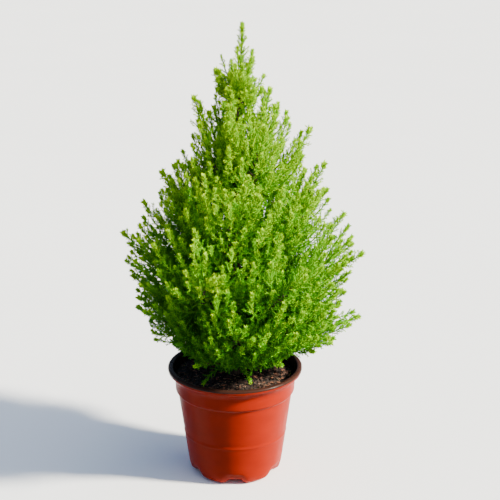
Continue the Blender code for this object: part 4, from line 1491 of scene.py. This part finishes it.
class PeatSettings(bpy.types.PropertyGroup):
    lump: length_property("Lump", "Height of the slow lumps", 0.0012)
    grain: length_property("Grain", "Height of the fine grain", 0.0006)
    sides: count_property("Sides", "Facets round the surface", 180, 24)
    rings: count_property("Rings", "Rings of the surface", 64, 4)
    crumbs: count_property("Crumbs", "Crumbs of peat", 1500)
    chips: count_property("Chips", "Chips of bark", 260)
    fibres: count_property("Fibres", "Loose fibres", 90)
    specks: count_property("Specks", "Pale specks", 130)
    soil_colour: colour_property("Soil", "Colour of the peat", (0.0185, 0.0092, 0.0058))
    chip_colour: colour_property("Chip colour", "Colour of the bark chips", (0.105, 0.038, 0.018))
    fibre_colour: colour_property("Fibre colour", "Colour of fibres and specks", (0.36, 0.25, 0.155))


class PlantSettings(bpy.types.PropertyGroup):
    outer_shoots: count_property("Outer shoots", "Shoots of a plume that reach its outside", 25, 1)
    inner_shoots: count_property("Inner shoots", "Shorter shoots of a plume", 24)
    gap_shoots: count_property("Gap shoots", "Shoots between a plume and the next one", 8)
    upturn: number_property("Upturn", "How much more upright the shoots end than they grow out", 0.70)
    trunk_shoots: count_property("Trunk shoots", "Short shoots from the trunk in each tier", 40)
    trunk_reach: share_property("Trunk shoot reach", "Share of the crown's reach of a trunk shoot", 0.52)
    outer_least: share_property("Outer from", "Least share of the reach of an outer shoot", 0.76)
    inner_least: share_property("Inner from", "Least share of the reach of an inner shoot", 0.14)
    inner_most: share_property("Inner to", "Greatest share of the reach of an inner shoot", 0.80)
    leafy_length: length_property("Leafy length", "Length of a shoot that bears branchlets", 0.090)
    first_branchlet: length_property("First branchlet", "From a shoot's tip to its first branchlet", 0.0027)
    branchlet_pitch: length_property("Branchlet pitch", "Between branchlets near a shoot's tip", 0.0014)
    pitch_growth: length_property("Pitch growth", "How much further apart each next branchlet is", 0.00007)
    branchlet_least: length_property("Shortest branchlet", "Length of a branchlet at the tip", 0.0028)
    branchlet_most: length_property("Longest branchlet", "Length of a full branchlet", 0.0165)
    branchlet_radius: length_property("Branchlet radius", "Radius of a branchlet", 0.00055)
    twig_radius: length_property("Twig radius", "Radius of a shoot at its start", 0.00085)
    needle_length: length_property("Needle length", "Length of a needle", 0.0022)
    needle_width: length_property("Needle width", "Width of a needle", 0.00078)
    needle_pitch: length_property("Needle pitch", "Between pairs of needles on a branchlet", 0.00120)
    axis_pitch: length_property("Axis pitch", "Between pairs of needles on a shoot", 0.0011)
    head_length: length_property("Head length", "Length of the dense head of a shoot", 0.0055)
    head_pitch: length_property("Head pitch", "Between pairs of needles in a head", 0.00026)
    tip_colour: colour_property("Tips", "Colour of the youngest sprays", (0.54, 0.82, 0.009))
    young_colour: colour_property("Young", "Colour of young sprays", (0.40, 0.74, 0.008))
    mid_colour: colour_property("Middle", "Colour of grown sprays", (0.25, 0.62, 0.008))
    # The deep and inner greens are old foliage's dark greens lightened as painted light, standing in for
    # light that passes through the needles
    deep_colour: colour_property("Deep", "Colour of older sprays", (0.105, 0.41, 0.007))
    inner_colour: colour_property("Inner", "Colour of the oldest sprays", (0.042, 0.235, 0.006))
    stem_colour: colour_property("Green stems", "Colour of young stems", (0.12, 0.34, 0.010))
    # Old bark's brown, darkened as painted shade so that trunk, boughs and twigs read as the shade inside
    # the crown
    bark_and_painted_shade_colour: colour_property("Bark", "Colour of old bark", (0.062, 0.040, 0.020))
    bark_pale: colour_property("Pale bark", "Colour of the strings on the bark", (0.15, 0.11, 0.065))


class StageSettings(bpy.types.PropertyGroup):
    floor_size: length_property("Floor", "Half width of the floor", 40.0)
    floor_colour: colour_property("Floor colour", "Colour of the floor", (0.97, 0.98, 0.99))
    key_strength: number_property("Key strength", "Strength of the distant key light", 15.2)
    key_softness: angle_property("Key softness", "How wide the key light looks from the plant", 7.0)
    key_bearing: angle_property("Key bearing", "Turn of the key light from the right to the front", 14.0)
    key_lift: angle_property("Key lift", "Height of the key light over the level", 35.0)
    wide_strength: number_property("Wide key strength", "Strength of the soft light beside the key", 1.8)
    wide_softness: angle_property("Wide key softness", "How wide the soft light looks", 80.0)
    wide_rise: number_property("Wide key rise", "How much higher the soft light stands", 0.35)
    fill_power: FloatProperty(name="Fill power", description="Power of the front fill", default=0.5, min=0.0,
                              unit="POWER")
    room_low: colour_property("Room low", "Light from below the level", (0.38, 0.43, 0.42))
    room_side: colour_property("Room side", "Light from the level", (0.22, 0.28, 0.37))
    room_high: colour_property("Room high", "Light from overhead", (0.28, 0.45, 0.80))
    camera_place: FloatVectorProperty(name="Camera", description="Place of the camera", size=3,
                                      default=(0.0145, -1.10, 0.577), subtype="TRANSLATION", unit="LENGTH")
    camera_drop: angle_property("Camera drop", "How far the camera looks down", 17.8)
    lens: FloatProperty(name="Lens", description="Focal length in millimetres", default=88.49, min=1.0,
                        subtype="DISTANCE_CAMERA", unit="CAMERA")


class CYPRESS_OT_pot(bpy.types.Operator):
    """Make the moulded pot with its dark lip and lining"""

    bl_idname = "cypress.pot"
    bl_label = "Pot"

    def execute(self, context):
        make_pot(context.scene.cypress_pot)
        return {"FINISHED"}


class CYPRESS_OT_peat(bpy.types.Operator):
    """Make the peat that fills the pot"""

    bl_idname = "cypress.peat"
    bl_label = "Peat"

    def execute(self, context):
        make_peat(context.scene.cypress_peat)
        return {"FINISHED"}


class CYPRESS_OT_litter(bpy.types.Operator):
    """Strew crumbs, bark chips, fibres and specks over the peat"""

    bl_idname = "cypress.litter"
    bl_label = "Crumbs and chips"

    def execute(self, context):
        make_litter(context.scene.cypress_peat)
        return {"FINISHED"}


class CYPRESS_OT_trunk(bpy.types.Operator):
    """Make the trunk with its stringy bark"""

    bl_idname = "cypress.trunk"
    bl_label = "Trunk"

    def execute(self, context):
        make_trunk(context.scene.cypress_plant)
        return {"FINISHED"}


class CYPRESS_OT_boughs(bpy.types.Operator):
    """Make the boughs with their bark"""

    bl_idname = "cypress.boughs"
    bl_label = "Boughs"

    def execute(self, context):
        make_boughs(context.scene.cypress_plant)
        return {"FINISHED"}


class CYPRESS_OT_foliage(bpy.types.Operator):
    """Grow the twigs and needles of every tier"""

    bl_idname = "cypress.foliage"
    bl_label = "Foliage"

    def execute(self, context):
        make_foliage(context.scene.cypress_plant)
        return {"FINISHED"}


class CYPRESS_OT_stage(bpy.types.Operator):
    """Set the floor, the lights and the camera"""

    bl_idname = "cypress.stage"
    bl_label = "Stage"

    def execute(self, context):
        make_stage(context.scene.cypress_stage)
        return {"FINISHED"}


OPERATORS = (
    CYPRESS_OT_pot,
    CYPRESS_OT_peat,
    CYPRESS_OT_litter,
    CYPRESS_OT_trunk,
    CYPRESS_OT_boughs,
    CYPRESS_OT_foliage,
    CYPRESS_OT_stage,
)
SETTINGS = (
    ("cypress_pot", PotSettings),
    ("cypress_peat", PeatSettings),
    ("cypress_plant", PlantSettings),
    ("cypress_stage", StageSettings),
)


class CYPRESS_PT_panel(bpy.types.Panel):
    """Lists the pieces of the potted cypress and their settings"""

    bl_idname = "CYPRESS_PT_panel"
    bl_label = "Potted lemon cypress"
    bl_space_type = "VIEW_3D"
    bl_region_type = "UI"
    bl_category = "Cypress"

    def draw(self, context):
        for operator in OPERATORS:
            self.layout.operator(operator.bl_idname)
        for name, group in SETTINGS:
            box = self.layout.box()
            for setting in group.__annotations__:
                box.prop(getattr(context.scene, name), setting)


def register():
    """Registers the settings, the operators and the panel."""
    for name, group in SETTINGS:
        bpy.utils.register_class(group)
        setattr(bpy.types.Scene, name, PointerProperty(type=group))
    for operator in OPERATORS:
        bpy.utils.register_class(operator)
    bpy.utils.register_class(CYPRESS_PT_panel)


def unregister():
    """Takes the panel, the operators and the settings away again."""
    bpy.utils.unregister_class(CYPRESS_PT_panel)
    for operator in reversed(OPERATORS):
        bpy.utils.unregister_class(operator)
    for name, group in reversed(SETTINGS):
        delattr(bpy.types.Scene, name)
        bpy.utils.unregister_class(group)


def main():
    """Makes every piece in order."""
    register()
    bpy.ops.cypress.pot()
    bpy.ops.cypress.peat()
    bpy.ops.cypress.litter()
    bpy.ops.cypress.trunk()
    bpy.ops.cypress.boughs()
    bpy.ops.cypress.foliage()
    bpy.ops.cypress.stage()


if __name__ == "__main__":
    main()
